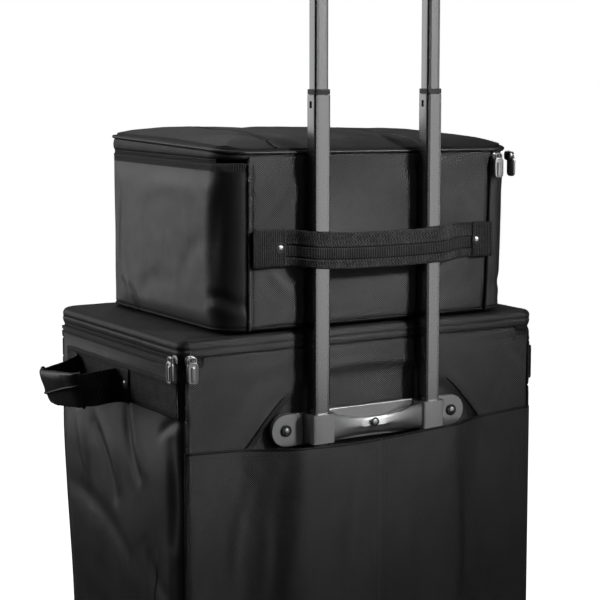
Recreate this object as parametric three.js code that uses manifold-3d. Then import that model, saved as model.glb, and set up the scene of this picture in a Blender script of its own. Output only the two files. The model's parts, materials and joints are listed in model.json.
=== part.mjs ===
// Wheeled padded equipment case with a two-stage telescopic handle, and a smaller padded bag
// stacked on its lid and held by its rear webbing strap, which passes over the handle tubes.
// Millimetres, +Z up. Origin: floor level, centre of the bounding box. +Y is the handle side (rear).
// "left" is +X, the left hand side of a person standing behind the case and facing it.
import * as THREE from 'three';
import { mergeVertices } from 'three/addons/utils/BufferGeometryUtils.js';
import Module from 'manifold-3d';

const wasm = await Module();
wasm.setup();

// ---- driving dimensions -------------------------------------------------------------------
const H = 540;              // top of the case lid above the floor
const YR = 143.5;           // rear plane of both bags
const CASE_D = 317;         // case depth
const CASE_HW = 236;        // case half width
const CASE_WALL = 6;        // fabric over stiffened board
const CASE_Z0 = 28;         // underside of the case shell
const R_REAR = 10, R_FRONT = 16;   // vertical corner radii of the case
const BAG_X0 = -204, BAG_X1 = 184; // upper bag side planes
const BAG_D = 278, BAG_H = 196, BAG_R = 15, BAG_CROWN = 16;
const TUBE_X = 73.5;        // half the handle tube spacing
const TUBE_Y = YR + 13.5;   // plane of the handle tubes
const T1W = 20.2, T1D = 18.2, T2W = 17, T2D = 15, TW = 1.2;   // stage tubes: width, depth, wall
const GW = 23.4, GD = 21.4, GW_IN = 21, GD_IN = 19;           // fixed guide tubes
const S1_TOP = H + 255, S1_BOT = H - 155;                     // first stage at full extension
const S2_TOP = H + 580, S2_BOT = H + 200;                     // second stage at full extension
const LOCK_Z = H + 244.5;   // lock pins, seen through a window near the top of the first stage
const GRIP_Z0 = H + 555, GRIP_Z1 = H + 600, GRIP_HW = 93, GRIP_D = 21;
const SOCKET_Z0 = H - 124, SOCKET_Z1 = H - 92;
const WEB = 40;             // webbing width
const STRAP_Z = H + 90;     // centre height of the rear strap
const STRAP_IN = YR + 24.5; // inner face of the strap over the tubes
const WHEEL_R = 38, WHEEL_X0 = 200, WHEEL_X1 = 224, WHEEL_Y = YR - 12;
const LOOP_OUT = 60;        // how far a side handle stands out
const LOOP_Y0 = YR - 257, LOOP_Y1 = YR - 140, LOOP_Z = H - 66;
const G = 0.3;              // gap between touching pieces

// ---- helpers ------------------------------------------------------------------------------
const solid = (geo) => {
  const g = geo.clone();
  for (const k of Object.keys(g.attributes)) if (k !== 'position') g.deleteAttribute(k);
  const m = mergeVertices(g, 1e-4);
  return new wasm.Manifold(new wasm.Mesh({
    numProp: 3,
    vertProperties: new Float32Array(m.attributes.position.array),
    triVerts: new Uint32Array(m.index.array),
  }));
};
const geometry = (man) => {
  const m = man.getMesh();
  const g = new THREE.BufferGeometry();
  g.setAttribute('position', new THREE.BufferAttribute(new Float32Array(m.vertProperties), 3));
  g.setIndex(new THREE.BufferAttribute(new Uint32Array(m.triVerts), 1));
  g.computeVertexNormals();
  return g;
};
const box = (x0, x1, y0, y1, z0, z1) =>
  solid(new THREE.BoxGeometry(x1 - x0, y1 - y0, z1 - z0).translate((x0 + x1) / 2, (y0 + y1) / 2, (z0 + z1) / 2));
// cylinder along an axis letter, centred on c, from a to b along the axis
const cyl = (axis, cx, cy, cz, r, a, b, n = 24, r2 = r) => {
  const g = new THREE.CylinderGeometry(r2, r, b - a, n);
  const m = (a + b) / 2;
  if (axis === 'y') g.translate(cx, m, cz);
  if (axis === 'x') { g.rotateZ(-Math.PI / 2); g.translate(m, cy, cz); }
  if (axis === 'z') { g.rotateX(Math.PI / 2); g.translate(cx, cy, m); }
  return solid(g);
};
// plan outline of a box with its own radius at the rear and front corners
const plan = (x0, x1, y0, y1, rr, rf, n = 4) => {
  const pts = [];
  const arc = (cx, cy, r, a0) => {
    for (let i = 0; i <= n; i++) {
      const a = a0 + (i / n) * Math.PI / 2;
      pts.push(new THREE.Vector2(cx + r * Math.cos(a), cy + r * Math.sin(a)));
    }
  };
  arc(x1 - rr, y1 - rr, rr, 0);
  arc(x0 + rr, y1 - rr, rr, Math.PI / 2);
  arc(x0 + rf, y0 + rf, rf, Math.PI);
  arc(x1 - rf, y0 + rf, rf, 1.5 * Math.PI);
  return new THREE.Shape(pts);
};
const prism = (shape, z0, z1) => {
  const g = new THREE.ExtrudeGeometry(shape, { depth: z1 - z0, bevelEnabled: false, curveSegments: 8 });
  g.translate(0, 0, z0);
  return solid(g);
};
const poly = (pts, z0, z1) => prism(new THREE.Shape(pts.map(([x, y]) => new THREE.Vector2(x, y))), z0, z1);
const cut = (a, ...bs) => bs.reduce((m, b) => m.subtract(b), a);
const join = (a, ...bs) => bs.reduce((m, b) => m.add(b), a);
const rtube = (cx, cy, wo, do_, wi, di, z0, z1) =>
  cut(prism(plan(cx - wo / 2, cx + wo / 2, cy - do_ / 2, cy + do_ / 2, 3, 3, 2), z0, z1),
    prism(plan(cx - wi / 2, cx + wi / 2, cy - di / 2, cy + di / 2, 2, 2, 2), z0 - 1, z1 + 1));

const MAT = {
  fabric: { color: 0x24262b, roughness: 0.85, metalness: 0 },
  lining: { color: 0x3a3c40, roughness: 0.9, metalness: 0 },
  webbing: { color: 0x202226, roughness: 0.8, metalness: 0 },
  aluminium: { color: 0xb4b6ba, roughness: 0.35, metalness: 1 },
  steel: { color: 0x9a9ca0, roughness: 0.3, metalness: 1 },
  gunmetal: { color: 0x4a4b4e, roughness: 0.35, metalness: 1 },
  moulding: { color: 0x77797d, roughness: 0.55, metalness: 0 },
  plastic: { color: 0x1a1b1d, roughness: 0.5, metalness: 0 },
  tyre: { color: 0x151516, roughness: 0.75, metalness: 0 },
  foot: { color: 0x18181a, roughness: 0.7, metalness: 0 },
};
const group = new THREE.Group();
const put = (name, man, mat) => {
  const mesh = new THREE.Mesh(geometry(man), new THREE.MeshStandardMaterial(MAT[mat]));
  mesh.name = name;
  group.add(mesh);
};
const both = [['left', 1], ['right', -1]];
const span = (s, a, b) => (s > 0 ? [a, b] : [-b, -a]);

// ---- case body ----------------------------------------------------------------------------
const CY0 = YR - CASE_D;
const TOP_SIDE = H - 24.3, TOP_REAR = H - 7;
const notch = (g) => both.map(([, s]) => box(...span(s, 190 - g, 260), YR - 60 - g, YR + 40, -10, 92 + g));
put('case_shell', cut(
  prism(plan(-CASE_HW, CASE_HW, CY0, YR, R_REAR, R_FRONT), CASE_Z0, TOP_REAR),
  prism(plan(-CASE_HW + CASE_WALL, CASE_HW - CASE_WALL, CY0 + CASE_WALL, YR - CASE_WALL, 6, 19), CASE_Z0 + 6, H),
  box(-260, 260, CY0 - 10, YR - CASE_WALL, TOP_SIDE, H),
  box(CASE_HW - CASE_WALL, 260, CY0 - 10, YR + 10, TOP_SIDE, H),
  box(-260, -CASE_HW + CASE_WALL, CY0 - 10, YR + 10, TOP_SIDE, H),
  ...notch(0)), 'fabric');
const LW = CASE_WALL + G;
put('case_liner', cut(
  prism(plan(-CASE_HW + LW, CASE_HW - LW, CY0 + LW, YR - LW, 5, 18), CASE_Z0 + 6.3, TOP_SIDE - 3),
  prism(plan(-CASE_HW + LW + 9, CASE_HW - LW - 9, CY0 + LW + 9, YR - LW - 9, 4, 10), CASE_Z0 + 16, H),
  ...notch(9)), 'lining');
put('case_base_plate', cut(
  prism(plan(-CASE_HW + 6, CASE_HW - 6, CY0 + 6, YR - 4, 8, 20), CASE_Z0 - 6.3, CASE_Z0 - G),
  ...notch(0.3)), 'plastic');
for (const [side, s] of both) {
  const [fx0, fx1] = span(s, 150, 205);
  put(`front_foot_${side}`, prism(plan(fx0, fx1, CY0 + 18, CY0 + 52, 6, 6, 3), 0, CASE_Z0 - 6.6), 'foot');
}

// ---- wheels at the lower rear corners -------------------------------------------------------
for (const [side, s] of both) {
  const [hx0, hx1] = span(s, 190.3, 237.7);
  const [wx0, wx1] = span(s, 197, 227);
  put(`wheel_housing_${side}`, cut(
    prism(plan(hx0, hx1, YR - 59.7, YR + 4, 4, 2, 2), CASE_Z0 - 10, 91.7),
    cyl('x', 0, WHEEL_Y, WHEEL_R, WHEEL_R + 4, wx0, wx1, 32),
    box(wx0, wx1, WHEEL_Y - WHEEL_R - 4, WHEEL_Y + WHEEL_R + 10, -10, WHEEL_R),
    box(wx0, wx1, WHEEL_Y, YR + 30, -10, WHEEL_R + 26),
    cyl('x', 0, WHEEL_Y, WHEEL_R, 4.3, hx0 - (s < 0 ? 1 : -3), hx1 + (s < 0 ? -3 : 1), 16)), 'plastic');
  const [ax0, ax1] = span(s, 194, 237);
  put(`wheel_axle_${side}`, cyl('x', 0, WHEEL_Y, WHEEL_R, 4, ax0, ax1, 16), 'steel');
  const [tx0, tx1] = span(s, WHEEL_X0, WHEEL_X1);
  put(`wheel_tyre_${side}`, cut(
    cyl('x', 0, WHEEL_Y, WHEEL_R, WHEEL_R, tx0, tx1, 40),
    cyl('x', 0, WHEEL_Y, WHEEL_R, 28, tx0 - 1, tx1 + 1, 32)), 'tyre');
  put(`wheel_hub_${side}`, cut(
    cyl('x', 0, WHEEL_Y, WHEEL_R, 27.7, tx0 + 1, tx1 - 1, 32),
    cyl('x', 0, WHEEL_Y, WHEEL_R, 4.4, tx0 - 1, tx1 + 1, 16)), 'moulding');
}

// ---- telescopic handle: fixed guides, foot and bracket ---------------------------------------
for (const [side, s] of both) put(`guide_tube_${side}`, rtube(s * TUBE_X, TUBE_Y, GW, GD, GW_IN, GD_IN, 44, SOCKET_Z0 - 3), 'aluminium');
put('guide_foot', prism(plan(-92, 92, YR + 0.5, YR + 24.6, 5, 2, 3), 36, 43.7), 'plastic');
const BR_Z = H - 109;
const ears = (() => {
  const pts = [];
  for (let i = 0; i <= 10; i++) { const a = -Math.PI / 2 + (i / 10) * Math.PI; pts.push([111 + 17.5 * Math.cos(a), BR_Z + 17.5 * Math.sin(a)]); }
  for (let i = 0; i <= 10; i++) { const a = Math.PI / 2 + (i / 10) * Math.PI; pts.push([-111 + 17.5 * Math.cos(a), BR_Z + 17.5 * Math.sin(a)]); }
  const g = new THREE.ExtrudeGeometry(new THREE.Shape(pts.map(([x, z]) => new THREE.Vector2(x, z))), { depth: 6.5, bevelEnabled: false });
  g.rotateX(Math.PI / 2);          // the outline's second coordinate becomes height, the depth runs to -Y
  g.translate(0, YR + 7, 0);
  return solid(g);
})();
const sockets = both.map(([, s]) => prism(plan(s * TUBE_X - 15.5, s * TUBE_X + 15.5, YR + 0.5, YR + 26, 5, 1, 3), SOCKET_Z0, SOCKET_Z1));
// the grip dish between the sockets: its front wall is hollowed in plan and its rim dips in the middle
const dishPlan = (hw, back, off) => {
  const pts = [[-hw, back], [hw, back]];
  for (let i = 0; i <= 16; i++) { const x = hw - (i / 16) * 2 * hw; pts.push([x, YR + 13 + off + 9 * (x / 58) ** 2]); }
  return pts;
};
const dish = cut(poly(dishPlan(60, YR + 0.5, 0), SOCKET_Z0, SOCKET_Z1),
  poly(dishPlan(57.5, YR + 6.5, -4), SOCKET_Z0 + 5, SOCKET_Z1 + 5),
  cyl('y', 0, 0, H + 49.5, 153, YR + 6.5, YR + 30, 128));
const holes = both.map(([, s]) => prism(plan(s * TUBE_X - GW_IN / 2, s * TUBE_X + GW_IN / 2, TUBE_Y - GD_IN / 2, TUBE_Y + GD_IN / 2, 2, 2, 2), SOCKET_Z0 - 5, SOCKET_Z1 + 5));
put('handle_bracket', cut(join(ears, ...sockets, dish), ...holes), 'moulding');
for (const [side, s] of both) put(`bracket_screw_${side}`, cyl('y', s * 111, 0, BR_Z, 4, YR + 7 + G, YR + 9.8, 16, 4), 'steel');
put('bracket_screw_centre', cyl('y', 0, 0, BR_Z - 0.5, 4, YR + 13 + G, YR + 15.6, 16, 4), 'steel');

// ---- rear pocket panel that covers the guides ------------------------------------------------
{
  const o = [[-232, YR + 3], [-150, YR + 13], [-100, YR + 28], [100, YR + 28], [150, YR + 13], [232, YR + 3]];
  const i = [[232, YR + 0.5], [150, YR + 10], [98, YR + 25], [-98, YR + 25], [-150, YR + 10], [-232, YR + 0.5]];
  put('case_rear_pocket', cut(poly([...o, ...i].reverse(), 36, H - 120),
    box(-140, 140, YR - 1, YR + 40, H - 126, H),
    ...both.map(([, s]) => box(...span(s, 186, 260), YR - 5, YR + 40, 0, 96))), 'fabric');
}

// ---- telescopic stages -----------------------------------------------------------------------
for (const [side, s] of both) {
  const x = s * TUBE_X;
  put(`stage1_tube_${side}`, cut(rtube(x, TUBE_Y, T1W, T1D, T1W - 2 * TW, T1D - 2 * TW, S1_BOT + 6, S1_TOP),
    box(x + 7, x + 12, TUBE_Y - 2.6, TUBE_Y + 2.6, LOCK_Z - 3.6, LOCK_Z + 3.6)), 'aluminium');
  put(`stage1_glide_${side}`, rtube(x, TUBE_Y, T1W + 0.2, T1D + 0.2, T1W - 2 * TW, T1D - 2 * TW, S1_BOT, S1_BOT + 6 - G), 'plastic');
  put(`stage1_collar_${side}`, rtube(x, TUBE_Y, T1W, T1D, T2W + 0.7, T2D + 0.7, S1_TOP + G, S1_TOP + 6), 'plastic');
  put(`stage2_tube_${side}`, cut(rtube(x, TUBE_Y, T2W, T2D, T2W - 2 * TW, T2D - 2 * TW, S2_BOT, S2_TOP),
    cyl('x', 0, TUBE_Y, LOCK_Z, 2.8, x + 3, x + 10, 12)), 'aluminium');
  put(`stage2_plug_${side}`, cut(box(x - 6.6, x + 6.6, TUBE_Y - 5.6, TUBE_Y + 5.6, S2_BOT + 0.5, LOCK_Z + 7),
    cyl('x', 0, TUBE_Y, LOCK_Z, 2.8, x - 3, x + 10, 12)), 'plastic');
  put(`lock_pin_${side}`, cyl('x', 0, TUBE_Y, LOCK_Z, 2.4, x + 1.5, x + 8.4, 12), 'steel');
  put(`release_rod_${side}`, cyl('z', x, TUBE_Y, 0, 2, LOCK_Z + 12, H + 586.7, 10), 'steel');
}
put('grip_body', cut(
  prism(plan(-GRIP_HW, GRIP_HW, TUBE_Y - GRIP_D / 2, TUBE_Y + GRIP_D / 2, 8, 8, 4), GRIP_Z0, GRIP_Z1),
  ...both.map(([, s]) => box(s * TUBE_X - T2W / 2 - 0.4, s * TUBE_X + T2W / 2 + 0.4, TUBE_Y - T2D / 2 - 0.4, TUBE_Y + T2D / 2 + 0.4, GRIP_Z0 - 1, S2_TOP + 1)),
  box(-80, 80, TUBE_Y - 4, TUBE_Y + 4, S2_TOP, H + 591.5),
  prism(plan(-20.5, 20.5, TUBE_Y - 6.5, TUBE_Y + 6.5, 4, 4, 3), H + 582, GRIP_Z1 + 5),
  // hand recess under the bar, between the two legs
  box(-60, 60, TUBE_Y - 20, TUBE_Y + 20, GRIP_Z0 - 1, GRIP_Z0 + 16)), 'plastic');
put('grip_button', join(prism(plan(-20, 20, TUBE_Y - 6, TUBE_Y + 6, 3.5, 3.5, 3), H + 587, GRIP_Z1 + 3),
  box(-77, 77, TUBE_Y - 3, TUBE_Y + 3, H + 587, H + 591)), 'moulding');

// ---- side handles and their bands --------------------------------------------------------------
for (const [side, s] of both) {
  const X = (a) => s * a;
  const bx = span(s, CASE_HW + G, CASE_HW + 2.3);
  put(`side_band_${side}`, box(...bx, YR - 290, YR - 14, LOOP_Z - WEB / 2, LOOP_Z + WEB / 2), 'webbing');
  const x0 = CASE_HW + 14.2, x1 = CASE_HW + LOOP_OUT;
  const t = 3;
  const o = [[x0, LOOP_Y0], [x1 - 8, LOOP_Y0], [x1, LOOP_Y0 + 8], [x1, LOOP_Y1 - 8], [x1 - 8, LOOP_Y1], [x0, LOOP_Y1]];
  const i = [[x0, LOOP_Y1 - t], [x1 - 9, LOOP_Y1 - t], [x1 - 6, LOOP_Y1 - 10], [x1 - 6, LOOP_Y0 + 10], [x1 - 9, LOOP_Y0 + t], [x0, LOOP_Y0 + t]];
  let pts = [...o, ...i].map(([x, y]) => [X(x), y]);
  if (s < 0) pts = pts.reverse();
  put(`side_handle_${side}`, poly(pts, LOOP_Z - WEB / 2, LOOP_Z + WEB / 2), 'webbing');
}

// ---- case lid, zip and sliders -------------------------------------------------------------------
const ZIP_Z0 = H - 24, ZIP_Z1 = H - 20.3;
put('case_lid', cut(
  prism(plan(-CASE_HW, CASE_HW, CY0, YR, R_REAR, R_FRONT), H - 20, H),
  prism(plan(-CASE_HW + 6, CASE_HW - 6, CY0 + 6, YR + 30, 2, 19), H - 40, H - 6.5),
  box(-260, 260, YR - 7, YR + 10, H - 40, H - 6.5)), 'fabric');
put('case_zip_chain', cut(
  prism(plan(-CASE_HW + 2, CASE_HW - 2, CY0 + 2, YR + 20, 8, 23), ZIP_Z0, ZIP_Z1),
  prism(plan(-CASE_HW + 6, CASE_HW - 6, CY0 + 6, YR + 30, 4, 19), ZIP_Z0 - 5, ZIP_Z1 + 5),
  box(-260, 260, YR - 9, YR + 60, ZIP_Z0 - 5, ZIP_Z1 + 5)), 'plastic');
put('case_zip_slider_side', box(CASE_HW + G, CASE_HW + 5, YR - 15, YR - 3, H - 28, H - 17), 'gunmetal');
put('case_pull_tab_side', box(CASE_HW + 5.3, CASE_HW + 8, YR - 15.5, YR - 2.5, H - 47, H - 18), 'gunmetal');
put('case_zip_slider_rear', box(219, 231, YR + G, YR + 5, H - 28, H - 17), 'gunmetal');
put('case_pull_tab_rear', box(218.5, 231.5, YR + 5.3, YR + 8, H - 47, H - 18), 'gunmetal');

// ---- upper bag -------------------------------------------------------------------------------------
const BY0 = YR - BAG_D, BZ = H + 0.5, BTOP = H + BAG_H;
const BZIP0 = H + 183, BZIP1 = H + 186.7;
put('bag_shell', cut(
  prism(plan(BAG_X0, BAG_X1, BY0, YR, 20, BAG_R, 5), BZ, BTOP - 7),
  prism(plan(BAG_X0 + 6, BAG_X1 - 6, BY0 + 6, YR - 6, 14, 27, 4), BZ + 6, BTOP),
  box(-260, 260, BY0 - 10, YR - 20, BZIP0 - G, BTOP),
  box(BAG_X1 - 20, 260, BY0 - 10, YR + 10, BZIP0 - G, BTOP),
  box(-260, BAG_X0 + 20, BY0 - 10, YR + 10, BZIP0 - G, BTOP)), 'fabric');
put('bag_liner', cut(
  prism(plan(BAG_X0 + 6.3, BAG_X1 - 6.3, BY0 + 6.3, YR - 6.3, 13, 26, 4), BZ + 6.3, BZIP0 - 4),
  prism(plan(BAG_X0 + 15, BAG_X1 - 15, BY0 + 15, YR - 15, 6, 16, 3), BZ + 15, BTOP)), 'lining');
put('bag_divider', box(-6, 6, BY0 + 15.5, YR - 15.5, BZ + 15.3, BZIP0 - 20), 'lining');
// lid with a low crown in three steps, kept low beside the hinge line at the rear
put('bag_lid', cut(
  join(prism(plan(BAG_X0, BAG_X1, BY0, YR, 20, BAG_R, 5), H + 187, BTOP),
    prism(plan(BAG_X0 + 26, BAG_X1 - 26, BY0 + 22, YR - 22, 20, 24, 3), BTOP - 1, BTOP + 5),
    prism(plan(BAG_X0 + 48, BAG_X1 - 48, BY0 + 42, YR - 44, 20, 20, 3), BTOP - 1, BTOP + 11),
    prism(plan(BAG_X0 + 78, BAG_X1 - 78, BY0 + 66, YR - 70, 20, 20, 3), BTOP - 1, BTOP + BAG_CROWN)),
  prism(plan(BAG_X0 + 6, BAG_X1 - 6, BY0 + 6, YR - 20.6, 6, 27, 4), H + 150, BTOP - 6.5),
  box(BAG_X0 + 19.4, BAG_X1 - 19.4, YR - 25, YR + 10, H + 150, BTOP - 6.5)), 'fabric');
put('bag_zip_chain', cut(
  prism(plan(BAG_X0 + 2, BAG_X1 - 2, BY0 + 2, YR - 2, 18, BAG_R - 2, 5), BZIP0, BZIP1),
  prism(plan(BAG_X0 + 6, BAG_X1 - 6, BY0 + 6, YR + 30, 4, BAG_R - 6, 4), BZIP0 - 5, BZIP1 + 5),
  box(-260, 260, YR - 21, YR + 60, BZIP0 - 5, BZIP1 + 5)), 'plastic');
put('bag_zip_slider_side', box(BAG_X0 - 5, BAG_X0 - G, YR - 20, YR - 8, H + 176, H + 187), 'gunmetal');
put('bag_pull_tab_side', box(BAG_X0 - 8, BAG_X0 - 5.3, YR - 20.5, YR - 7.5, H + 157, H + 186), 'gunmetal');
put('bag_zip_slider_rear', box(BAG_X0 + 22, BAG_X0 + 34, YR + G, YR + 5, H + 176, H + 187), 'gunmetal');
put('bag_pull_tab_rear', box(BAG_X0 + 21.5, BAG_X0 + 34.5, YR + 5.3, YR + 8, H + 157, H + 186), 'gunmetal');

// rear strap: sewn down beyond the tubes, standing off over them, with a second layer in the middle
{
  const a = [[-168, YR + 3], [-138, YR + 3], [-98, STRAP_IN + 2.5], [-60, YR + 30], [60, YR + 30], [94, STRAP_IN + 2.5], [112, YR + 3], [142, YR + 3]];
  const b = [[142, YR + 0.4], [113.5, YR + 0.4], [93, STRAP_IN], [-97, STRAP_IN], [-139.5, YR + 0.4], [-168, YR + 0.4]];
  put('bag_rear_strap', poly([...a, ...b].reverse(), STRAP_Z - WEB / 2, STRAP_Z + WEB / 2), 'webbing');
}
put('strap_rivet_left', cyl('y', 117.8, 0, STRAP_Z + 1, 4, YR + 3.3, YR + 8.6, 16), 'steel');
put('strap_rivet_right', cyl('y', -145, 0, STRAP_Z - 3, 4, YR + 3.3, YR + 8.6, 16), 'steel');

export default group;
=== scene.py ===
"""Looks of a wheeled padded equipment case with a telescopic handle and a small padded bag on its lid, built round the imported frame."""
import json
import math

import bpy
import bmesh
import numpy as np
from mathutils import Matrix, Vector


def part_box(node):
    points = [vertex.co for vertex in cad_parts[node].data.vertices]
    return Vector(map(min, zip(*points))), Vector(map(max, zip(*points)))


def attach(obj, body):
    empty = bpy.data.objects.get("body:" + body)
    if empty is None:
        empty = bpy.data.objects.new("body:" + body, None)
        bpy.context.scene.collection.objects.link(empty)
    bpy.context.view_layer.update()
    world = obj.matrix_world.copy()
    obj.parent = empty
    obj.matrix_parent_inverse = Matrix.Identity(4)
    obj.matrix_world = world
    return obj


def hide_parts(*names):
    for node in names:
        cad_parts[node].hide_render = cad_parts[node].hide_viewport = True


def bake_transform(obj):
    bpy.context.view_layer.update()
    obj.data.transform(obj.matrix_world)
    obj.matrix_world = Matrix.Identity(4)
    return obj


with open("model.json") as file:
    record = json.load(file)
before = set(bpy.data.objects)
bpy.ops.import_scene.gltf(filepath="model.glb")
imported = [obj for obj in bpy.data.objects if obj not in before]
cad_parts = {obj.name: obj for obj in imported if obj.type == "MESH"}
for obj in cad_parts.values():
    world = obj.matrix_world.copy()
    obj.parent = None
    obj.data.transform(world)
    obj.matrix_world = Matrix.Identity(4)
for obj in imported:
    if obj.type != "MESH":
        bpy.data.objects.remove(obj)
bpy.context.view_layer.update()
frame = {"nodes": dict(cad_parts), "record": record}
BODY_OF = {n: b for b, ns in frame["record"]["behaviour"]["bodies"].items() for n in ns}

# ---- dimensions in millimetres, from the frame ----------------------------------------------
_lo, _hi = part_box("case_lid")
H = _hi[2] * 1000.0            # top of the case lid
YR = _hi[1] * 1000.0           # rear plane of both bags
CASE_HW = _hi[0] * 1000.0
YF = _lo[1] * 1000.0
_lo, _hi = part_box("stage1_tube_left")
TUBE_X = (_lo[0] + _hi[0]) * 500.0
TUBE_Y = (_lo[1] + _hi[1]) * 500.0
_lo, _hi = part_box("bag_lid")
BAG_X0, BAG_X1, BY0 = _lo[0] * 1000.0, _hi[0] * 1000.0, _lo[1] * 1000.0


# ---- noise, the same on every run -------------------------------------------------------------
def _hash3(ix, iy, iz, seed):
    h = (ix * 73856093) ^ (iy * 19349663) ^ (iz * 83492791) ^ (seed * 2654435761)
    h = h & 0xFFFFFFFF
    h = ((h ^ (h >> 15)) * 2246822519) & 0xFFFFFFFF
    h = ((h ^ (h >> 13)) * 3266489917) & 0xFFFFFFFF
    h = h ^ (h >> 16)
    return h / 2147483647.5 - 1.0


def noise(p, seed=0):
    p = np.asarray(p, float)
    i = np.floor(p).astype(np.int64)
    f = p - i
    f = f * f * f * (f * (f * 6 - 15) + 10)
    out = 0.0
    for dx in (0, 1):
        for dy in (0, 1):
            for dz in (0, 1):
                w = (f[..., 0] if dx else 1 - f[..., 0]) * (f[..., 1] if dy else 1 - f[..., 1]) * (f[..., 2] if dz else 1 - f[..., 2])
                out = out + w * _hash3(i[..., 0] + dx, i[..., 1] + dy, i[..., 2] + dz, seed)
    return out


def fbm(x, y, z, sx, sy, sz, seed=0, octaves=3):
    p = np.stack([np.asarray(x) / sx, np.asarray(y) / sy, np.asarray(z) / sz], -1)
    out, a = 0.0, 1.0
    for o in range(octaves):
        out = out + a * noise(p * 2.0 ** o + 17.3 * o, seed + o)
        a *= 0.5
    return out


def sstep(a, b, x):
    t = np.clip((np.asarray(x, float) - a) / (b - a), 0, 1)
    return t * t * (3 - 2 * t)


def fold(s, z, a, b, width, depth, bend=0.0):
    """A soft ridge (or valley, with depth below 0) along a line from a to b in a wall's own coordinates."""
    dx, dz = b[0] - a[0], b[1] - a[1]
    length = math.hypot(dx, dz)
    t = ((s - a[0]) * dx + (z - a[1]) * dz) / length ** 2
    tc = np.clip(t, 0, 1)
    off = bend * 4 * tc * (1 - tc)
    px, pz = a[0] + tc * dx - dz / length * off, a[1] + tc * dz + dx / length * off
    d2 = (s - px) ** 2 + (z - pz) ** 2
    taper = np.sin(np.pi * np.clip(0.12 + 0.76 * tc, 0, 1)) ** 0.7
    return depth * np.exp(-d2 / width ** 2) * taper


# ---- mesh building --------------------------------------------------------------------------
class Build:
    """Collects parts of one piece: vertices in millimetres, faces and a material index for each face."""

    def __init__(self):
        self.v, self.f, self.m, self.n = [], [], [], 0

    def add(self, v, f, mat=0):
        v = np.asarray(v, float).reshape(-1, 3)
        self.v.append(v)
        if np.isscalar(mat):
            mat = [mat] * len(f)
        for face in f:
            self.f.append(tuple(int(i) + self.n for i in face))
        self.m.extend(int(x) for x in mat)
        self.n += len(v)
        return self

    def make(self, name, mats, body, slot=None, replaces=(), smooth=True, angle=None, ride=True):
        me = bpy.data.meshes.new(name)
        me.from_pydata((np.concatenate(self.v) * 0.001).tolist(), [], self.f)
        for m in mats:
            me.materials.append(m)
        me.polygons.foreach_set("material_index", np.array(self.m, np.int32))
        me.polygons.foreach_set("use_smooth", np.full(len(self.f), smooth))
        me.validate()
        me.update()
        ob = bpy.data.objects.new(name, me)
        bpy.context.scene.collection.objects.link(ob)
        if angle is not None:
            me.set_sharp_from_angle(angle=math.radians(angle))
        if replaces:
            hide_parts(*replaces)
        if ride:
            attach(ob, body)
        return ob


def loft(rings, cap0=True, cap1=True, closed=True):
    """Rings (m, n, 3), each counter-clockwise seen from above and going up, make an outward-facing surface."""
    rings = np.asarray(rings, float)
    m, n, _ = rings.shape
    v = rings.reshape(-1, 3)
    i = np.arange(m - 1)[:, None]
    j = np.arange(n if closed else n - 1)[None, :]
    j2 = (j + 1) % n
    f = np.stack([i * n + j, i * n + j2, (i + 1) * n + j2, (i + 1) * n + j], -1).reshape(-1, 4).tolist()
    extra = []
    if cap0 and closed:
        extra.append(rings[0].mean(0))
        c = len(v)
        f += [(c, (k + 1) % n, k) for k in range(n)]
    if cap1 and closed:
        extra.append(rings[-1].mean(0))
        c = len(v) + len(extra) - 1
        b = (m - 1) * n
        f += [(c, b + k, b + (k + 1) % n) for k in range(n)]
    if extra:
        v = np.concatenate([v, np.array(extra)])
    return v, f


def frames(path, closed=False, up=(0, 0, 1)):
    p = np.asarray(path, float)
    t = np.roll(p, -1, 0) - np.roll(p, 1, 0)
    if not closed:
        t[0], t[-1] = p[1] - p[0], p[-1] - p[-2]
    t /= np.linalg.norm(t, axis=1)[:, None] + 1e-12
    a = np.cross(t, np.asarray(up, float))
    bad = np.linalg.norm(a, axis=1) < 1e-3
    a[bad] = np.cross(t[bad], (1.0, 0.13, 0.0))
    a /= np.linalg.norm(a, axis=1)[:, None]
    b = np.cross(a, t)
    return t, a, b


def sweep(path, r, k=8, closed=False, up=(0, 0, 1), ry=None, radii=None):
    """A round (or oval) cord along a path, with closed ends."""
    p = np.asarray(path, float)
    _, a, b = frames(p, closed, up)
    ang = np.linspace(0, 2 * np.pi, k, endpoint=False)
    ry = r if ry is None else ry
    s = np.ones(len(p)) if radii is None else np.asarray(radii)
    ring = p[:, None, :] + s[:, None, None] * (a[:, None, :] * (r * np.cos(ang))[None, :, None] + b[:, None, :] * (ry * np.sin(ang))[None, :, None])
    m = len(p)
    v = ring.reshape(-1, 3)
    f = []
    for i in range(m if closed else m - 1):
        i2 = (i + 1) % m
        for j in range(k):
            j2 = (j + 1) % k
            f.append((i * k + j, i2 * k + j, i2 * k + j2, i * k + j2))
    if not closed:
        v = np.concatenate([v, p[:1], p[-1:]])
        c0, c1 = m * k, m * k + 1
        f += [(c0, j, (j + 1) % k) for j in range(k)]
        f += [(c1, (m - 1) * k + (j + 1) % k, (m - 1) * k + j) for j in range(k)]
    return v, f


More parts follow.
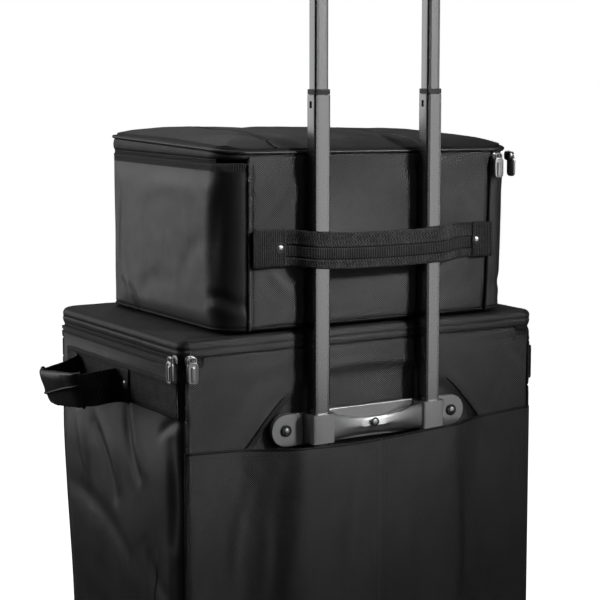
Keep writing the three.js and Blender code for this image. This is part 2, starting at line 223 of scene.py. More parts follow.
def ribbon(path, wdir, ndir, section):
    """A flat band along a path. section is a closed outline of (across, out) points, counter-clockwise seen along the path's reverse."""
    p, w, nn = (np.asarray(x, float) for x in (path, wdir, ndir))
    sec = np.asarray(section, float)
    if sec.ndim == 2:
        sec = np.repeat(sec[None], len(p), 0)
    ring = p[:, None, :] + w[:, None, :] * sec[:, :, :1] + nn[:, None, :] * sec[:, :, 1:]
    m, k = ring.shape[:2]
    v = ring.reshape(-1, 3)
    f = []
    for i in range(m - 1):
        for j in range(k):
            j2 = (j + 1) % k
            f.append((i * k + j, i * k + j2, (i + 1) * k + j2, (i + 1) * k + j))
    v = np.concatenate([v, ring[0].mean(0)[None], ring[-1].mean(0)[None]])
    c0, c1 = m * k, m * k + 1
    f += [(c0, (j + 1) % k, j) for j in range(k)]
    f += [(c1, (m - 1) * k + j, (m - 1) * k + (j + 1) % k) for j in range(k)]
    return v, f


def fix_normals(ob):
    bm = bmesh.new()
    bm.from_mesh(ob.data)
    bmesh.ops.recalc_face_normals(bm, faces=bm.faces)
    bm.to_mesh(ob.data)
    bm.free()
    ob.data.update()
    return ob


def band_section(w, t, n=14, ribs=0.0, nr=5):
    """A webbing's outline: rounded edges and, where asked, raised ribs along it."""
    h = w / 2
    xs = np.linspace(-h, h, n)
    top = [(x, t / 2 + ribs * math.cos(math.pi * nr * (x / h + 1)) * (abs(x) < h * 0.93) - 0.35 * t * (abs(x) / h) ** 12) for x in xs]
    bot = [(x, -t / 2) for x in xs[::-1]]
    return top + bot


def stitches(path, out, pitch=3.4, length=2.4, r=0.36, lift=0.12, up=(0, 0, 1)):
    """A row of separate sewn stitches lying on a surface. out holds the surface's outward direction at each path point."""
    p = np.asarray(path, float)
    o = np.asarray(out, float)
    if o.ndim == 1:
        o = np.repeat(o[None], len(p), 0)
    d = np.r_[0, np.cumsum(np.linalg.norm(np.diff(p, axis=0), axis=1))]
    n = max(1, int(d[-1] / pitch))
    V, F, base = [], [], 0
    prof = ((-0.5, 0.15, -0.6), (-0.3, 0.9, 0.0), (0.0, 1.0, 0.25), (0.3, 0.9, 0.0), (0.5, 0.15, -0.6))
    k = 6
    ang = np.linspace(0, 2 * np.pi, k, endpoint=False)
    mids = (np.arange(n) + 0.5) * d[-1] / n
    for s in mids:
        c = np.array([np.interp(s, d, p[:, i]) for i in range(3)])
        c2 = np.array([np.interp(min(s + 0.4, d[-1]), d, p[:, i]) for i in range(3)])
        c1 = np.array([np.interp(max(s - 0.4, 0), d, p[:, i]) for i in range(3)])
        t = c2 - c1
        t /= np.linalg.norm(t) + 1e-12
        nn = np.array([np.interp(s, d, o[:, i]) for i in range(3)])
        nn /= np.linalg.norm(nn) + 1e-12
        b = np.cross(t, nn)
        for q, rad, hgt in prof:
            cc = c + t * q * length + nn * (lift + hgt * r)
            for a in ang:
                V.append(cc + rad * r * (b * math.cos(a) + nn * math.sin(a)))
        for i in range(len(prof) - 1):
            for j in range(k):
                j2 = (j + 1) % k
                F.append((base + i * k + j, base + i * k + j2, base + (i + 1) * k + j2, base + (i + 1) * k + j))
        F.append(tuple(base + j for j in reversed(range(k))))
        F.append(tuple(base + (len(prof) - 1) * k + j for j in range(k)))
        base += len(prof) * k
    return np.array(V), F


def lathe(profile, axis_pt, axis="x", n=48):
    """profile: (along, radius) points from the axis round and back to the axis."""
    pr = np.asarray(profile, float)
    ang = np.linspace(0, 2 * np.pi, n, endpoint=False)
    rings = []
    for a, r in pr:
        c, s = np.cos(ang) * r, np.sin(ang) * r
        if axis == "x":
            q = np.stack([np.full(n, a), c, s], -1)
        elif axis == "y":
            q = np.stack([s, np.full(n, a), c], -1)
        else:
            q = np.stack([c, s, np.full(n, a)], -1)
        rings.append(q + np.asarray(axis_pt, float))
    return loft(np.array(rings), cap0=True, cap1=True)


def outline(x0, x1, yf, yr, rr, rf, nr=150, ns=96, nf=100, nc=8):
    """Plan outline of a bag, counter-clockwise from the rear +X corner. Returns points, outward normals and the wall each point is on:
    0 rear, 1 corner, 2 side at -X, 3 corner, 4 front, 5 corner, 6 side at +X, 7 corner."""
    P, N, W = [], [], []

    def seg(a, b, n, w, nrm):
        for t in np.arange(n) / n:
            P.append((a[0] + (b[0] - a[0]) * t, a[1] + (b[1] - a[1]) * t))
            N.append(nrm)
            W.append(w)

    def arc(cx, cy, r, a0, n, w):
        for t in np.arange(n) / n:
            a = math.radians(a0 + 90 * t)
            P.append((cx + r * math.cos(a), cy + r * math.sin(a)))
            N.append((math.cos(a), math.sin(a)))
            W.append(w)

    seg((x1 - rr, yr), (x0 + rr, yr), nr, 0, (0, 1))
    arc(x0 + rr, yr - rr, rr, 90, nc, 1)
    seg((x0, yr - rr), (x0, yf + rf), ns, 2, (-1, 0))
    arc(x0 + rf, yf + rf, rf, 180, nc, 3)
    seg((x0 + rf, yf), (x1 - rf, yf), nf, 4, (0, -1))
    arc(x1 - rf, yf + rf, rf, 270, nc, 5)
    seg((x1, yf + rf), (x1, yr - rr), ns, 6, (1, 0))
    arc(x1 - rr, yr - rr, rr, 0, nc, 7)
    return np.array(P), np.array(N), np.array(W)


# ---- materials -------------------------------------------------------------------------------
class Mat:
    def __init__(self, name, rough=0.5, metal=0.0, spec=0.5, color=(0.5, 0.5, 0.5)):
        self.m = bpy.data.materials.new(name)
        self.m.use_nodes = True
        self.t = self.m.node_tree
        self.b = self.t.nodes["Principled BSDF"]
        self.b.inputs["Roughness"].default_value = rough
        self.b.inputs["Metallic"].default_value = metal
        self.b.inputs["Specular IOR Level"].default_value = spec
        self.b.inputs["Base Color"].default_value = (*color, 1)
        self.m.diffuse_color = (*color, 1)
        c = self.t.nodes.new("ShaderNodeTexCoord")
        self.obj, self.nrm = c.outputs["Object"], c.outputs["Normal"]

    def node(self, kind, ins=None, **props):
        n = self.t.nodes.new(kind)
        for k, v in props.items():
            setattr(n, k, v)
        for k, v in (ins or {}).items():
            if isinstance(v, bpy.types.NodeSocket):
                self.t.links.new(v, n.inputs[k])
            else:
                n.inputs[k].default_value = v
        return n

    def op(self, o, a, b=0.0, c=None):
        ins = {0: a, 1: b}
        if c is not None:
            ins[2] = c
        return self.node("ShaderNodeMath", ins, operation=o).outputs[0]

    def xyz(self, v):
        n = self.node("ShaderNodeSeparateXYZ", {0: v})
        return n.outputs[0], n.outputs[1], n.outputs[2]

    def noise(self, scale, detail=3.0, rough=0.55, vec=None, dist=0.0):
        return self.node("ShaderNodeTexNoise", {"Vector": vec or self.obj, "Scale": scale, "Detail": detail, "Roughness": rough, "Distortion": dist}).outputs[0]

    def stretch(self, sx, sy, sz):
        return self.node("ShaderNodeMapping", {"Vector": self.obj, "Scale": (sx, sy, sz)}).outputs[0]

    def ramp(self, fac, stops):
        n = self.node("ShaderNodeValToRGB", {"Fac": fac})
        e = n.color_ramp.elements
        while len(e) < len(stops):
            e.new(0.5)
        for k, (pos, col) in enumerate(stops):
            e[k].position = pos
            e[k].color = (*col, 1) if len(col) == 3 else col
        return n.outputs[0]

    def mix(self, fac, a, b, mode="MIX"):
        n = self.t.nodes.new("ShaderNodeMix")
        n.data_type = "RGBA"
        n.blend_type = mode
        for k, v in ((0, fac), (6, a), (7, b)):
            if isinstance(v, bpy.types.NodeSocket):
                self.t.links.new(v, n.inputs[k])
            elif k == 0:
                n.inputs[k].default_value = v
            else:
                n.inputs[k].default_value = (*v, 1)
        return n.outputs[2]

    def bump(self, height, strength=0.5, dist=0.0005, normal=None):
        ins = {"Height": height, "Strength": strength, "Distance": dist}
        if normal is not None:
            ins["Normal"] = normal
        return self.node("ShaderNodeBump", ins).outputs[0]

    def set(self, key, sock):
        self.t.links.new(sock, self.b.inputs[key])
        return self

    def wall_coords(self):
        """(along, up) in millimetres on an upright wall, or plan x, y on a lid or base."""
        x, y, z = self.xyz(self.obj)
        s = self.op("MULTIPLY", self.op("SUBTRACT", x, y), 1000.0)
        tz = self.op("MULTIPLY", z, 1000.0)
        nz = self.op("ABSOLUTE", self.xyz(self.nrm)[2])
        flat = self.op("GREATER_THAN", nz, 0.72)
        ty = self.op("MULTIPLY", self.op("ADD", y, x), 1000.0)
        t = self.op("ADD", self.op("MULTIPLY", tz, self.op("SUBTRACT", 1.0, flat)), self.op("MULTIPLY", ty, flat))
        return s, t


def cosw(m, v, period):
    return m.op("COSINE", m.op("MULTIPLY", v, 2 * math.pi / period))


def fabric(name, dark, light, ps=2.95, pt=2.47, depth=0.5, rough=0.62, spec=0.35, sheen=0.15, fine=0.35, contrast=1.0):
    """Woven nylon: a diagonal grid of thread tops, uneven dye, and light wear."""
    m = Mat(name, rough=rough, spec=spec, color=light)
    s, t = m.wall_coords()
    w = m.op("MULTIPLY", cosw(m, s, ps), cosw(m, t, pt))          # -1 .. 1 diagonal checker
    thread = m.op("MULTIPLY_ADD", w, 0.5 * contrast, 0.5)
    fine_w = m.op("MULTIPLY", cosw(m, s, 0.74), cosw(m, t, 0.62))
    big = m.noise(9.0, 3.0, 0.6)
    mid = m.noise(60.0, 4.0, 0.65)
    grain = m.noise(900.0, 2.0, 0.7)
    h = m.op("ADD", thread, m.op("MULTIPLY", fine_w, 0.12 * fine))
    h = m.op("ADD", h, m.op("MULTIPLY", m.op("SUBTRACT", grain, 0.5), 0.5 * fine))
    tone = m.op("ADD", m.op("MULTIPLY", thread, 0.72), m.op("MULTIPLY", m.op("SUBTRACT", mid, 0.5), 0.4))
    tone = m.op("ADD", tone, m.op("MULTIPLY", m.op("SUBTRACT", big, 0.5), 0.7))
    m.set("Base Color", m.ramp(tone, [(0.0, dark), (0.75, light)]))
    m.set("Roughness", m.op("MULTIPLY_ADD", mid, 0.22, rough - 0.13))
    soft = m.bump(m.noise(38.0, 3.0, 0.55), 0.25, 0.0012)
    m.set("Normal", m.bump(h, depth, 0.0004, soft))
    m.b.inputs["Sheen Weight"].default_value = sheen
    m.b.inputs["Sheen Roughness"].default_value = 0.45
    m.b.inputs["Sheen Tint"].default_value = (1, 1, 1, 1)
    return m.m


def webbing(name, dark, light, kind="twill", axis="along", rough=0.6):
    """Woven strap: slanted ribs in chevrons across its width, with the pattern following world up and along."""
    m = Mat(name, rough=rough, spec=0.4, color=light)
    s, t = m.wall_coords()
    if kind == "rib":
        w = cosw(m, s, 2.3)
        w = m.op("MULTIPLY_ADD", m.op("MULTIPLY", w, m.op("MULTIPLY_ADD", cosw(m, t, 1.9), 0.3, 0.7)), 0.5, 0.5)
    else:
        zig = m.op("PINGPONG", t, 2.6)
        w = m.op("MULTIPLY_ADD", m.op("MULTIPLY", cosw(m, m.op("ADD", s, m.op("MULTIPLY", zig, 0.9)), 2.9), cosw(m, m.op("ADD", t, m.op("MULTIPLY", s, 0.21)), 2.3)), 0.5, 0.5)
    grain = m.noise(1200.0, 2.0, 0.7)
    mid = m.noise(80.0, 3.0, 0.6)
    tone = m.op("ADD", m.op("MULTIPLY", w, 0.8), m.op("ADD", m.op("MULTIPLY", m.op("SUBTRACT", mid, 0.5), 0.6), m.op("MULTIPLY", m.op("SUBTRACT", m.noise(420.0, 2.0, 0.6), 0.5), 0.9)))
    m.set("Base Color", m.ramp(tone, [(0.3, dark), (0.95, light)]))
    m.set("Normal", m.bump(m.op("ADD", w, m.op("MULTIPLY", grain, 0.25)), 1.0, 0.0007))
    m.b.inputs["Sheen Weight"].default_value = 0.1
    return m.m


def metal(name, color, rough=0.3, brush=(1, 1, 1), amount=0.12, bump=0.03, aniso=0.0, wear_scale=26.0, wear_detail=5.0, vary=1.0):
    m = Mat(name, rough=rough, metal=1.0, color=color)
    g = m.noise(1.0, 4.0, 0.6, vec=m.stretch(*brush))
    wear = m.noise(wear_scale, wear_detail, 0.55)
    c0 = tuple(c * (1 - 0.18 * vary) for c in color)
    c1 = tuple(min(1.0, c * (1 + 0.12 * vary)) for c in color)
    m.set("Base Color", m.ramp(m.op("ADD", m.op("MULTIPLY", g, 0.7), m.op("MULTIPLY", wear, 0.3)), [(0.3, c0), (0.7, c1)]))
    m.set("Roughness", m.op("MULTIPLY_ADD", m.op("ADD", m.op("MULTIPLY", g, 0.5), m.op("MULTIPLY", wear, 0.5)), amount * 2, rough - amount))
    if bump > 0:
        m.set("Normal", m.bump(g, bump, 0.0002))
    m.b.inputs["Anisotropic"].default_value = aniso
    return m.m


def plastic(name, color, rough=0.5, grain=1400.0, bump=0.15, vary=0.25, spec=0.5, dist=0.0002):
    m = Mat(name, rough=rough, spec=spec, color=color)
    g = m.noise(grain, 2.0, 0.5)
    big = m.noise(30.0, 4.0, 0.6)
    m.set("Base Color", m.ramp(big, [(0.25, tuple(c * (1 - vary) for c in color)), (0.75, tuple(c * (1 + vary) for c in color))]))
    m.set("Roughness", m.op("MULTIPLY_ADD", big, 0.2, rough - 0.1))
    m.set("Normal", m.bump(g, bump, dist))
    return m.m


M_REAR = fabric("fabric_rear_panels", (0.004, 0.004, 0.0041), (0.062, 0.062, 0.0625), depth=1.0, contrast=1.3, rough=0.46, spec=0.85, sheen=0.03)
M_SIDE = fabric("fabric_side_panels", (0.010, 0.010, 0.0101), (0.026, 0.026, 0.0262), ps=1.25, pt=1.1, depth=0.25, rough=0.44, spec=0.85, contrast=0.5, sheen=0.03)
M_LID = fabric("fabric_lid_top", (0.009, 0.009, 0.0091), (0.030, 0.030, 0.0302), ps=1.6, pt=1.4, depth=0.35, rough=0.55, spec=0.45, contrast=0.6, sheen=0.02)
M_LINING = fabric("lining_cloth", (0.05, 0.052, 0.058), (0.11, 0.113, 0.122), ps=1.0, pt=1.0, depth=0.3, rough=0.85, spec=0.15, sheen=0.3)
M_WEB = webbing("webbing_twill", (0.0008, 0.0008, 0.0008), (0.165, 0.165, 0.167))
M_RIB = webbing("webbing_ribbed", (0.003, 0.003, 0.003), (0.085, 0.085, 0.086), kind="rib")
M_TAPE = webbing("zip_tape_weave", (0.006, 0.006, 0.006), (0.030, 0.030, 0.0302), kind="rib", rough=0.55)
M_PIPE = plastic("piping_cover", (0.022, 0.022, 0.0222), rough=0.42, grain=900.0, bump=0.35, spec=0.6)
M_WELT = plastic("welt_cloth", (0.008, 0.008, 0.008), rough=0.6, grain=900.0, bump=0.35, spec=0.3)
M_THREAD = plastic("thread", (0.02, 0.02, 0.0202), rough=0.5, grain=3000.0, bump=0.3, spec=0.5)
M_COIL = plastic("zip_coil_nylon", (0.012, 0.012, 0.013), rough=0.32, grain=2000.0, bump=0.1)
M_TUBE = metal("satin_anodised_tube", (0.31, 0.31, 0.313), rough=0.22, brush=(60, 60, 0.8), amount=0.006, bump=0.0, wear_scale=5.0, wear_detail=1.5, vary=0.2)
M_TUBE_IN = metal("tube_bore", (0.16, 0.16, 0.165), rough=0.5, brush=(500, 500, 10))
M_STEEL = metal("nickel_plate", (0.85, 0.85, 0.855), rough=0.36, brush=(120, 120, 120), amount=0.05, bump=0.02)
M_GUN = metal("gunmetal_zip", (0.34, 0.34, 0.345), rough=0.2, brush=(60, 60, 60), amount=0.06, bump=0.03)
M_BRACKET = plastic("satin_grey_moulding", (0.52, 0.52, 0.523), rough=0.36, grain=1600.0, bump=0.05, vary=0.08)
M_BRACKET.node_tree.nodes["Principled BSDF"].inputs["Metallic"].default_value = 0.75
M_NICKEL = metal("cast_nickel", (0.62, 0.62, 0.625), rough=0.32, brush=(60, 60, 60), amount=0.03, bump=0.01, wear_detail=2.0, vary=0.5)
M_BLACK = plastic("black_moulding", (0.018, 0.018, 0.019), rough=0.45, grain=1500.0, bump=0.22)
M_GRIP = plastic("soft_grip_rubber", (0.02, 0.02, 0.021), rough=0.6, grain=700.0, bump=0.45, dist=0.0003)
M_TYRE = plastic("tyre_rubber", (0.017, 0.017, 0.018), rough=0.72, grain=500.0, bump=0.5, dist=0.0004)
M_FOOT = plastic("foot_rubber", (0.022, 0.022, 0.022), rough=0.7, grain=600.0, bump=0.4, dist=0.0003)

# ---- camera, floor and light -------------------------------------------------------------------
def rel(v):
    """From millimetres about the rear plane and the case lid's top to millimetres in the row frame."""
    v = np.array(v, float)
    v[..., 1] += YR
    v[..., 2] += H
    return v


cam = bpy.data.objects.new("camera", bpy.data.cameras.new("camera"))
bpy.context.scene.collection.objects.link(cam)
cam.location = Vector(rel([1021.5, 1533.9, 278.9]) * 0.001)
_a, _e = math.radians(31.3), math.radians(6.27)
cam.rotation_euler = Vector((-math.sin(_a) * math.cos(_e), -math.cos(_a) * math.cos(_e), -math.sin(_e))).to_track_quat("-Z", "Y").to_euler()
cam.data.lens, cam.data.sensor_width = 99.74, 36.0
cam.data.shift_x, cam.data.shift_y = 0.0, -0.075
cam.data.clip_end = 60.0
bpy.context.scene.camera = cam
bpy.context.scene.view_settings.view_transform = "Standard"


def area_light(name, loc, aim, size, power, size_y=None, color=(1, 1, 1)):
    d = bpy.data.lights.new(name, "AREA")
    d.shape = "RECTANGLE"
    d.size, d.size_y = size, size_y or size
    d.energy, d.color = power, color
    o = bpy.data.objects.new(name, d)
    bpy.context.scene.collection.objects.link(o)
    o.location = loc
    o.rotation_euler = (Vector(aim) - Vector(loc)).to_track_quat("-Z", "Y").to_euler()
    return o


def panel(name, loc, aim, w, h, radiance, spread=0):
    """A softbox of the given brightness: seen in the cloth's and tubes' gloss."""
    o = area_light(name, loc, aim, w, math.pi * w * h * radiance, h)
    o.visible_camera = False
    if spread:
        o.data.spread = math.radians(spread)
    return o


panel("softbox_rear", (-1.12, 1.85, 0.92), (0.0, 0.14, 0.80), 0.52, 1.80, 0.95)
panel("strip_near", (-0.13, 2.34, 0.90), (0.0, 0.14, 0.80), 0.22, 1.7, 1.3)
panel("strip_far", (-1.89, 1.26, 0.90), (0.0, 0.14, 0.80), 0.26, 1.7, 1.4)
panel("softbox_side", (1.22, -2.05, 1.02), (0.24, 0.0, 0.75), 1.15, 2.0, 1.10)
panel("softbox_key", (-0.90, 1.62, 1.42), (0.04, 0.14, 0.65), 0.34, 0.30, 1.42, spread=22)
panel("softbox_fill", (2.2, -1.6, 1.7), (0.24, 0.0, 0.5), 1.0, 1.0, 5.5)
panel("softbox_top", (-0.35, -1.5, 2.5), (0.0, 0.0, 0.7), 1.3, 1.0, 2.2)

world = bpy.data.worlds.new("studio")
bpy.context.scene.world = world
world.use_nodes = True
_t = world.node_tree
_bg = _t.nodes["Background"]
_bg.inputs["Color"].default_value = (0.012, 0.012, 0.0125, 1)
_white = _t.nodes.new("ShaderNodeBackground")
_white.inputs["Color"].default_value = (1, 1, 1, 1)
_lp, _ms = _t.nodes.new("ShaderNodeLightPath"), _t.nodes.new("ShaderNodeMixShader")
_t.links.new(_lp.outputs["Is Camera Ray"], _ms.inputs[0])
_t.links.new(_bg.outputs[0], _ms.inputs[1])
_t.links.new(_white.outputs[0], _ms.inputs[2])
_t.links.new(_ms.outputs[0], _t.nodes["World Output"].inputs["Surface"])

fm = Mat("pale_floor", rough=0.9, color=(0.8, 0.8, 0.8))
fm.set("Base Color", fm.ramp(fm.noise(0.8, 3.0), [(0.3, (0.78, 0.78, 0.78)), (0.7, (0.82, 0.82, 0.82))]))
fm.b.inputs["Emission Color"].default_value = (1, 1, 1, 1)
fm.b.inputs["Emission Strength"].default_value = 1.0
_b = Build()
_g = 30000.0
_b.add([(-_g, -_g, 0), (_g, -_g, 0), (_g, _g, 0), (-_g, _g, 0)], [(0, 1, 2, 3)])
floor = _b.make("floor", [fm.m], None, ride=False)
floor.visible_diffuse = floor.visible_glossy = False


# ---- soft shells ----------------------------------------------------------------------------------
def cyc(P):
    return np.r_[0, np.cumsum(np.linalg.norm(np.diff(P, axis=0), axis=1))]


def shell_rings(P, N, spec):
    """spec rows: (inset, z) where each may be an array over the columns."""
    return np.array([np.stack([P[:, 0] - N[:, 0] * ins, P[:, 1] - N[:, 1] * ins, np.broadcast_to(z, len(P))], -1) for ins, z in spec])


CP, CN, CW = outline(-CASE_HW, CASE_HW, -319.0, 0.0, 11.0, 16.0, nr=150, ns=96, nf=120, nc=10)


def ridges(z, rows, width=1.1, height=0.55):
    return sum(height * np.exp(-((z - r) / width) ** 2) for r in rows)


def case_disp(x, y, w, z):
    """How far the case's skin stands out from its flat wall, in millimetres."""
    rear = np.isin(w, (0,)) * 1.0
    side_l = np.isin(w, (5, 6, 7)) * 1.0
    side_r = np.isin(w, (1, 2, 3)) * 1.0
    front = np.isin(w, (4,)) * 1.0
    up = sstep(-40, -70, z) * sstep(-512, -470, z)
    edge_y = sstep(0, -26, y) * sstep(-317, -285, y)
    edge_x = 1 - sstep(185, 226, np.abs(x))
    d = 0.0
    # rear wall
    edge_z = np.interp(np.abs(x), [0, 24, 48, 70, 88, 104, 121, 137, 148, 158, 166], [-37.5, -38.4, -41.5, -47.5, -56.5, -67.8, -82.4, -99.7, -112.6, -125.1, -133.0])
    below = (edge_z - z) * 0.72
    scoop = -4.4 * sstep(0.5, 13.0, below) * sstep(172, 160, np.abs(x)) + 1.5 * np.exp(-((below + 5.0) / 5.0) ** 2) * sstep(-128, -118, z) * sstep(182, 160, np.abs(x)) * sstep(96, 116, np.abs(x))
    soft = fbm(x, y, z, 70, 70, 46, 3, 3) * 1.1
    r = scoop * sstep(-36, -50, z) + soft * up * edge_x
    r = r + fold(x, z, (-150, -46), (30, -55), 7, 1.6, 6) + fold(x, z, (20, -44), (150, -52), 6, 1.3, -4) + fold(x, z, (-205, -62), (-170, -100), 8, 1.2, 3)
    r = r + fold(x, z, (150, -62), (205, -104), 9, 1.5, -5) + fold(x, z, (196, -44), (228, -62), 6, -1.6) + fold(x, z, (-200, -44), (-228, -66), 6, -1.5)
    r = r - 1.1 * np.exp(-((z + 36.0 + 0.006 * x) / 2.2) ** 2)
    d = d + rear * r
    # side wall at +X
    bulge = 3.6 * edge_y * sstep(-90, -160, z) * sstep(-512, -440, z)
    s = bulge + fbm(x, y, z, 80, 80, 150, 8, 2) * 1.6 * up * edge_y
    s = s + fold(y, z, (-218, -128), (-162, -200), 10, -3.4, 6) + fold(y, z, (-205, -120), (-150, -186), 9, 2.0, 6)
    s = s + fold(y, z, (-136, -98), (-101, -166), 9, -3.2, -5) + fold(y, z, (-118, -96), (-84, -158), 9, 1.8, -5)
    s = s + fold(y, z, (-46, -108), (2, -86), 6, -2.4, 3) + fold(y, z, (-20, -116), (-15, -222), 9, -3.4, 4)
    s = s + fold(y, z, (-262, -126), (-238, -196), 12, 3.0, 4) + fold(y, z, (-290, -210), (-120, -262), 13, -1.8, 12)
    s = s + fold(y, z, (-80, -240), (-10, -300), 12, -2.0, -6) + fold(y, z, (-230, -330), (-60, -380), 16, -1.7, -14)
    d = d + side_l * s * up
    # side wall at -X
    q = bulge + fbm(x, y, z, 70, 62, 80, 21, 3) * 2.2 * up * edge_y
    q = q + fold(y, z, (-230, -120), (-175, -205), 11, -3.0, -6) + fold(y, z, (-120, -104), (-88, -176), 9, -2.8, 5)
    q = q + fold(y, z, (-36, -104), (-4, -92), 6, -2.0, 2) + fold(y, z, (-24, -130), (-18, -228), 9, -3.0, -3) + fold(y, z, (-280, -240), (-90, -296), 14, -2.0, 10)
    d = d + side_r * q * up
    # front wall
    fz = 4.0 * sstep(236, 190, np.abs(x)) * sstep(-90, -150, z) * sstep(-512, -440, z) + fbm(x, y, z, 80, 80, 60, 31, 3) * 2.4 * up
    fz = fz + fold(x, z, (-150, -130), (-60, -190), 12, -3.0, 8) + fold(x, z, (60, -120), (150, -200), 12, -3.0, -8) + fold(x, z, (-90, -300), (100, -330), 16, -2.2, 14)
    d = d + front * fz
    zipped = np.where((rear > 0.5) & (np.abs(x) < 209), 0.0, 1.0)
    return d * np.where(zipped > 0, sstep(-34, -46, z), sstep(-19, -24, z)) + zipped * (ridges(z, (-25.6, -28.6, -31.6)) + 0.5 * np.exp(-((z + 34.4) / 0.9) ** 2))


def taper(v):
    """The case narrows a little towards its base at the front."""
    v = np.array(v, float)
    k = sstep(-120, -400, v[..., 2])
    fr = sstep(-150, -317, v[..., 1])
    v[..., 1] += 14.0 * k * fr
    v[..., 0] -= np.sign(v[..., 0]) * 5.0 * k * sstep(0, -317, v[..., 1]) * sstep(150, 236, np.abs(v[..., 0]))
    return v


def case_wall_point(x, y, w, z, out=0.0):
    """A point on the case's outer skin for wall w, plus a distance outward. All arrays."""
    x, y, z = np.broadcast_arrays(np.asarray(x, float), np.asarray(y, float), np.asarray(z, float))
    d = case_disp(x, y, np.full(x.shape, w), z) + out
    nx = {0: 0, 2: -1, 4: 0, 6: 1}[w]
    ny = {0: 1, 2: 0, 4: -1, 6: 0}[w]
    return taper(np.stack([x + nx * d, y + ny * d, z], -1))


NOTCH = (np.abs(CP[:, 0]) > 192) & (CP[:, 1] > -58)


def notch_in(P, off):
    """Columns in the wheel notches moved to the notch's inner faces."""
    Q = P.copy()
    ix, iy = 190.0 - off, -60.0 - off
    side = np.sign(P[:, 0])
    onrear = NOTCH & (P[:, 1] > -3.5)
    onside = NOTCH & ~onrear
    # rear columns run down the face at |x| = ix, side columns along y = iy
    fr = np.clip((np.abs(P[:, 0]) - 192) / (233.5 - 192), 0, 1)
    Q[onrear, 0] = side[onrear] * ix
    Q[onrear, 1] = (fr * iy)[onrear]
    fs = np.clip((-P[:, 1] - 3) / 55.0, 0, 1)
    Q[onside, 0] = side[onside] * (ix + fs[onside] * (236 - off - ix))
    Q[onside, 1] = iy
    return Q


def case_shell():
    nz = 118
    ztop = np.where((CW == 0) & (np.abs(CP[:, 0]) < 209), -20.7, -24.3)
    zb = np.where(NOTCH, -446.0, -498.0)
    rows = []
    lowP = notch_in(CP, 0.0)
    ins = np.where(NOTCH, 0.0, 10.0)
    base = np.stack([lowP[:, 0] - CN[:, 0] * ins, lowP[:, 1] - CN[:, 1] * ins, np.full(len(CP), -511.6)], -1)
    r2 = np.stack([lowP[:, 0] - CN[:, 0] * np.where(NOTCH, 0, 3.5), lowP[:, 1] - CN[:, 1] * np.where(NOTCH, 0, 3.5), np.where(NOTCH, -447.5, -507.5)], -1)
    rows += [base, r2]
    t = np.linspace(0, 1, nz)
    for k in range(nz):
        z = zb + (ztop - zb) * t[k]
        d = case_disp(CP[:, 0], CP[:, 1], CW, z)
        if k == nz - 1:
            d = d - 0.8
        rows.append(np.stack([CP[:, 0] + CN[:, 0] * d, CP[:, 1] + CN[:, 1] * d, z], -1))
    rows.append(shell_rings(CP, CN, [(3.6, ztop + 0.2)])[0])
    rows.append(shell_rings(CP, CN, [(5.2, ztop - 0.3)])[0])
    for z in (-27.0, -32.0, -60.0, -200.0, -380.0, -436.0):
        rows.append(shell_rings(CP, CN, [(5.9, z)])[0])
    inP = notch_in(CP, 6.0)
    rows.append(np.stack([inP[:, 0] - CN[:, 0] * np.where(NOTCH, 0, 5.9), inP[:, 1] - CN[:, 1] * np.where(NOTCH, 0, 5.9), np.where(NOTCH, -437.0, -480.0)], -1))
    rows.append(np.stack([inP[:, 0] - CN[:, 0] * np.where(NOTCH, 0, 6.0), inP[:, 1] - CN[:, 1] * np.where(NOTCH, 0, 6.0), np.full(len(CP), -506.0)], -1))
    rows = [taper(r) for r in rows]
    v, f = loft(rel(np.array(rows)))
    n = len(CP)
    mats = []
    for face in f:
        if len(face) == 4:
            ring, col = divmod(face[0], n)
            w = CW[col]
            z = rows[min(ring, len(rows) - 1)][col][2]
            if 2 <= ring < nz + 2 and z > -35.0 and not (w == 0 and abs(CP[col, 0]) < 209):
                mats.append(2)
            elif ring >= nz + 4:
                mats.append(3)
            else:
                mats.append(0 if w == 0 else 1)
        else:
            mats.append(3 if face[1] > n * 3 else 1)
    b = Build().add(v, f, mats)
    ob = b.make("case_body_fabric", [M_REAR, M_SIDE, M_TAPE, M_LINING], "case", "case_fabric", ("case_shell",))
    return ob


case_shell()


def strip_on(P3, out, name, w=1.8, mat=M_PIPE, body="case", k=10, slot="webbing", closed=False):
    b = Build()
    b.add(*sweep(rel(P3), w, k, closed=closed))
    return b.make(name, [mat], body, slot)


# the arched seam of the rear wall, from the pocket's top edge up behind the handle: a near-black cord, partly the
# seam's piping and partly painted shade of the crease along the arch
for sx, side in ((1, "left"), (-1, "right")):
    _q = np.array([(166.0, -132.0), (158.3, -125.1), (148.0, -112.6), (137.0, -99.7), (120.9, -82.4), (104.2, -67.8), (88.1, -56.5), (70.0, -47.5), (48.0, -41.5), (24.0, -38.4), (0.0, -37.5)])
    _u = np.linspace(0, len(_q) - 1, 120)
    _x = np.interp(_u, np.arange(len(_q)), _q[:, 0]) * sx
    _z = np.interp(_u, np.arange(len(_q)), _q[:, 1])
    _k = np.ones(9) / 9.0
    _x[4:-4], _z[4:-4] = np.convolve(_x, _k, "valid"), np.convolve(_z, _k, "valid")
    strip_on(np.stack([_x, case_disp(_x, 0 * _x, np.zeros(120, int), _z) + 0.35 - 1.9 * sstep(122, 104, np.abs(_x)), _z], -1), None, "case_arch_seam_and_crease_shade_" + side, 1.25, mat=M_WELT)

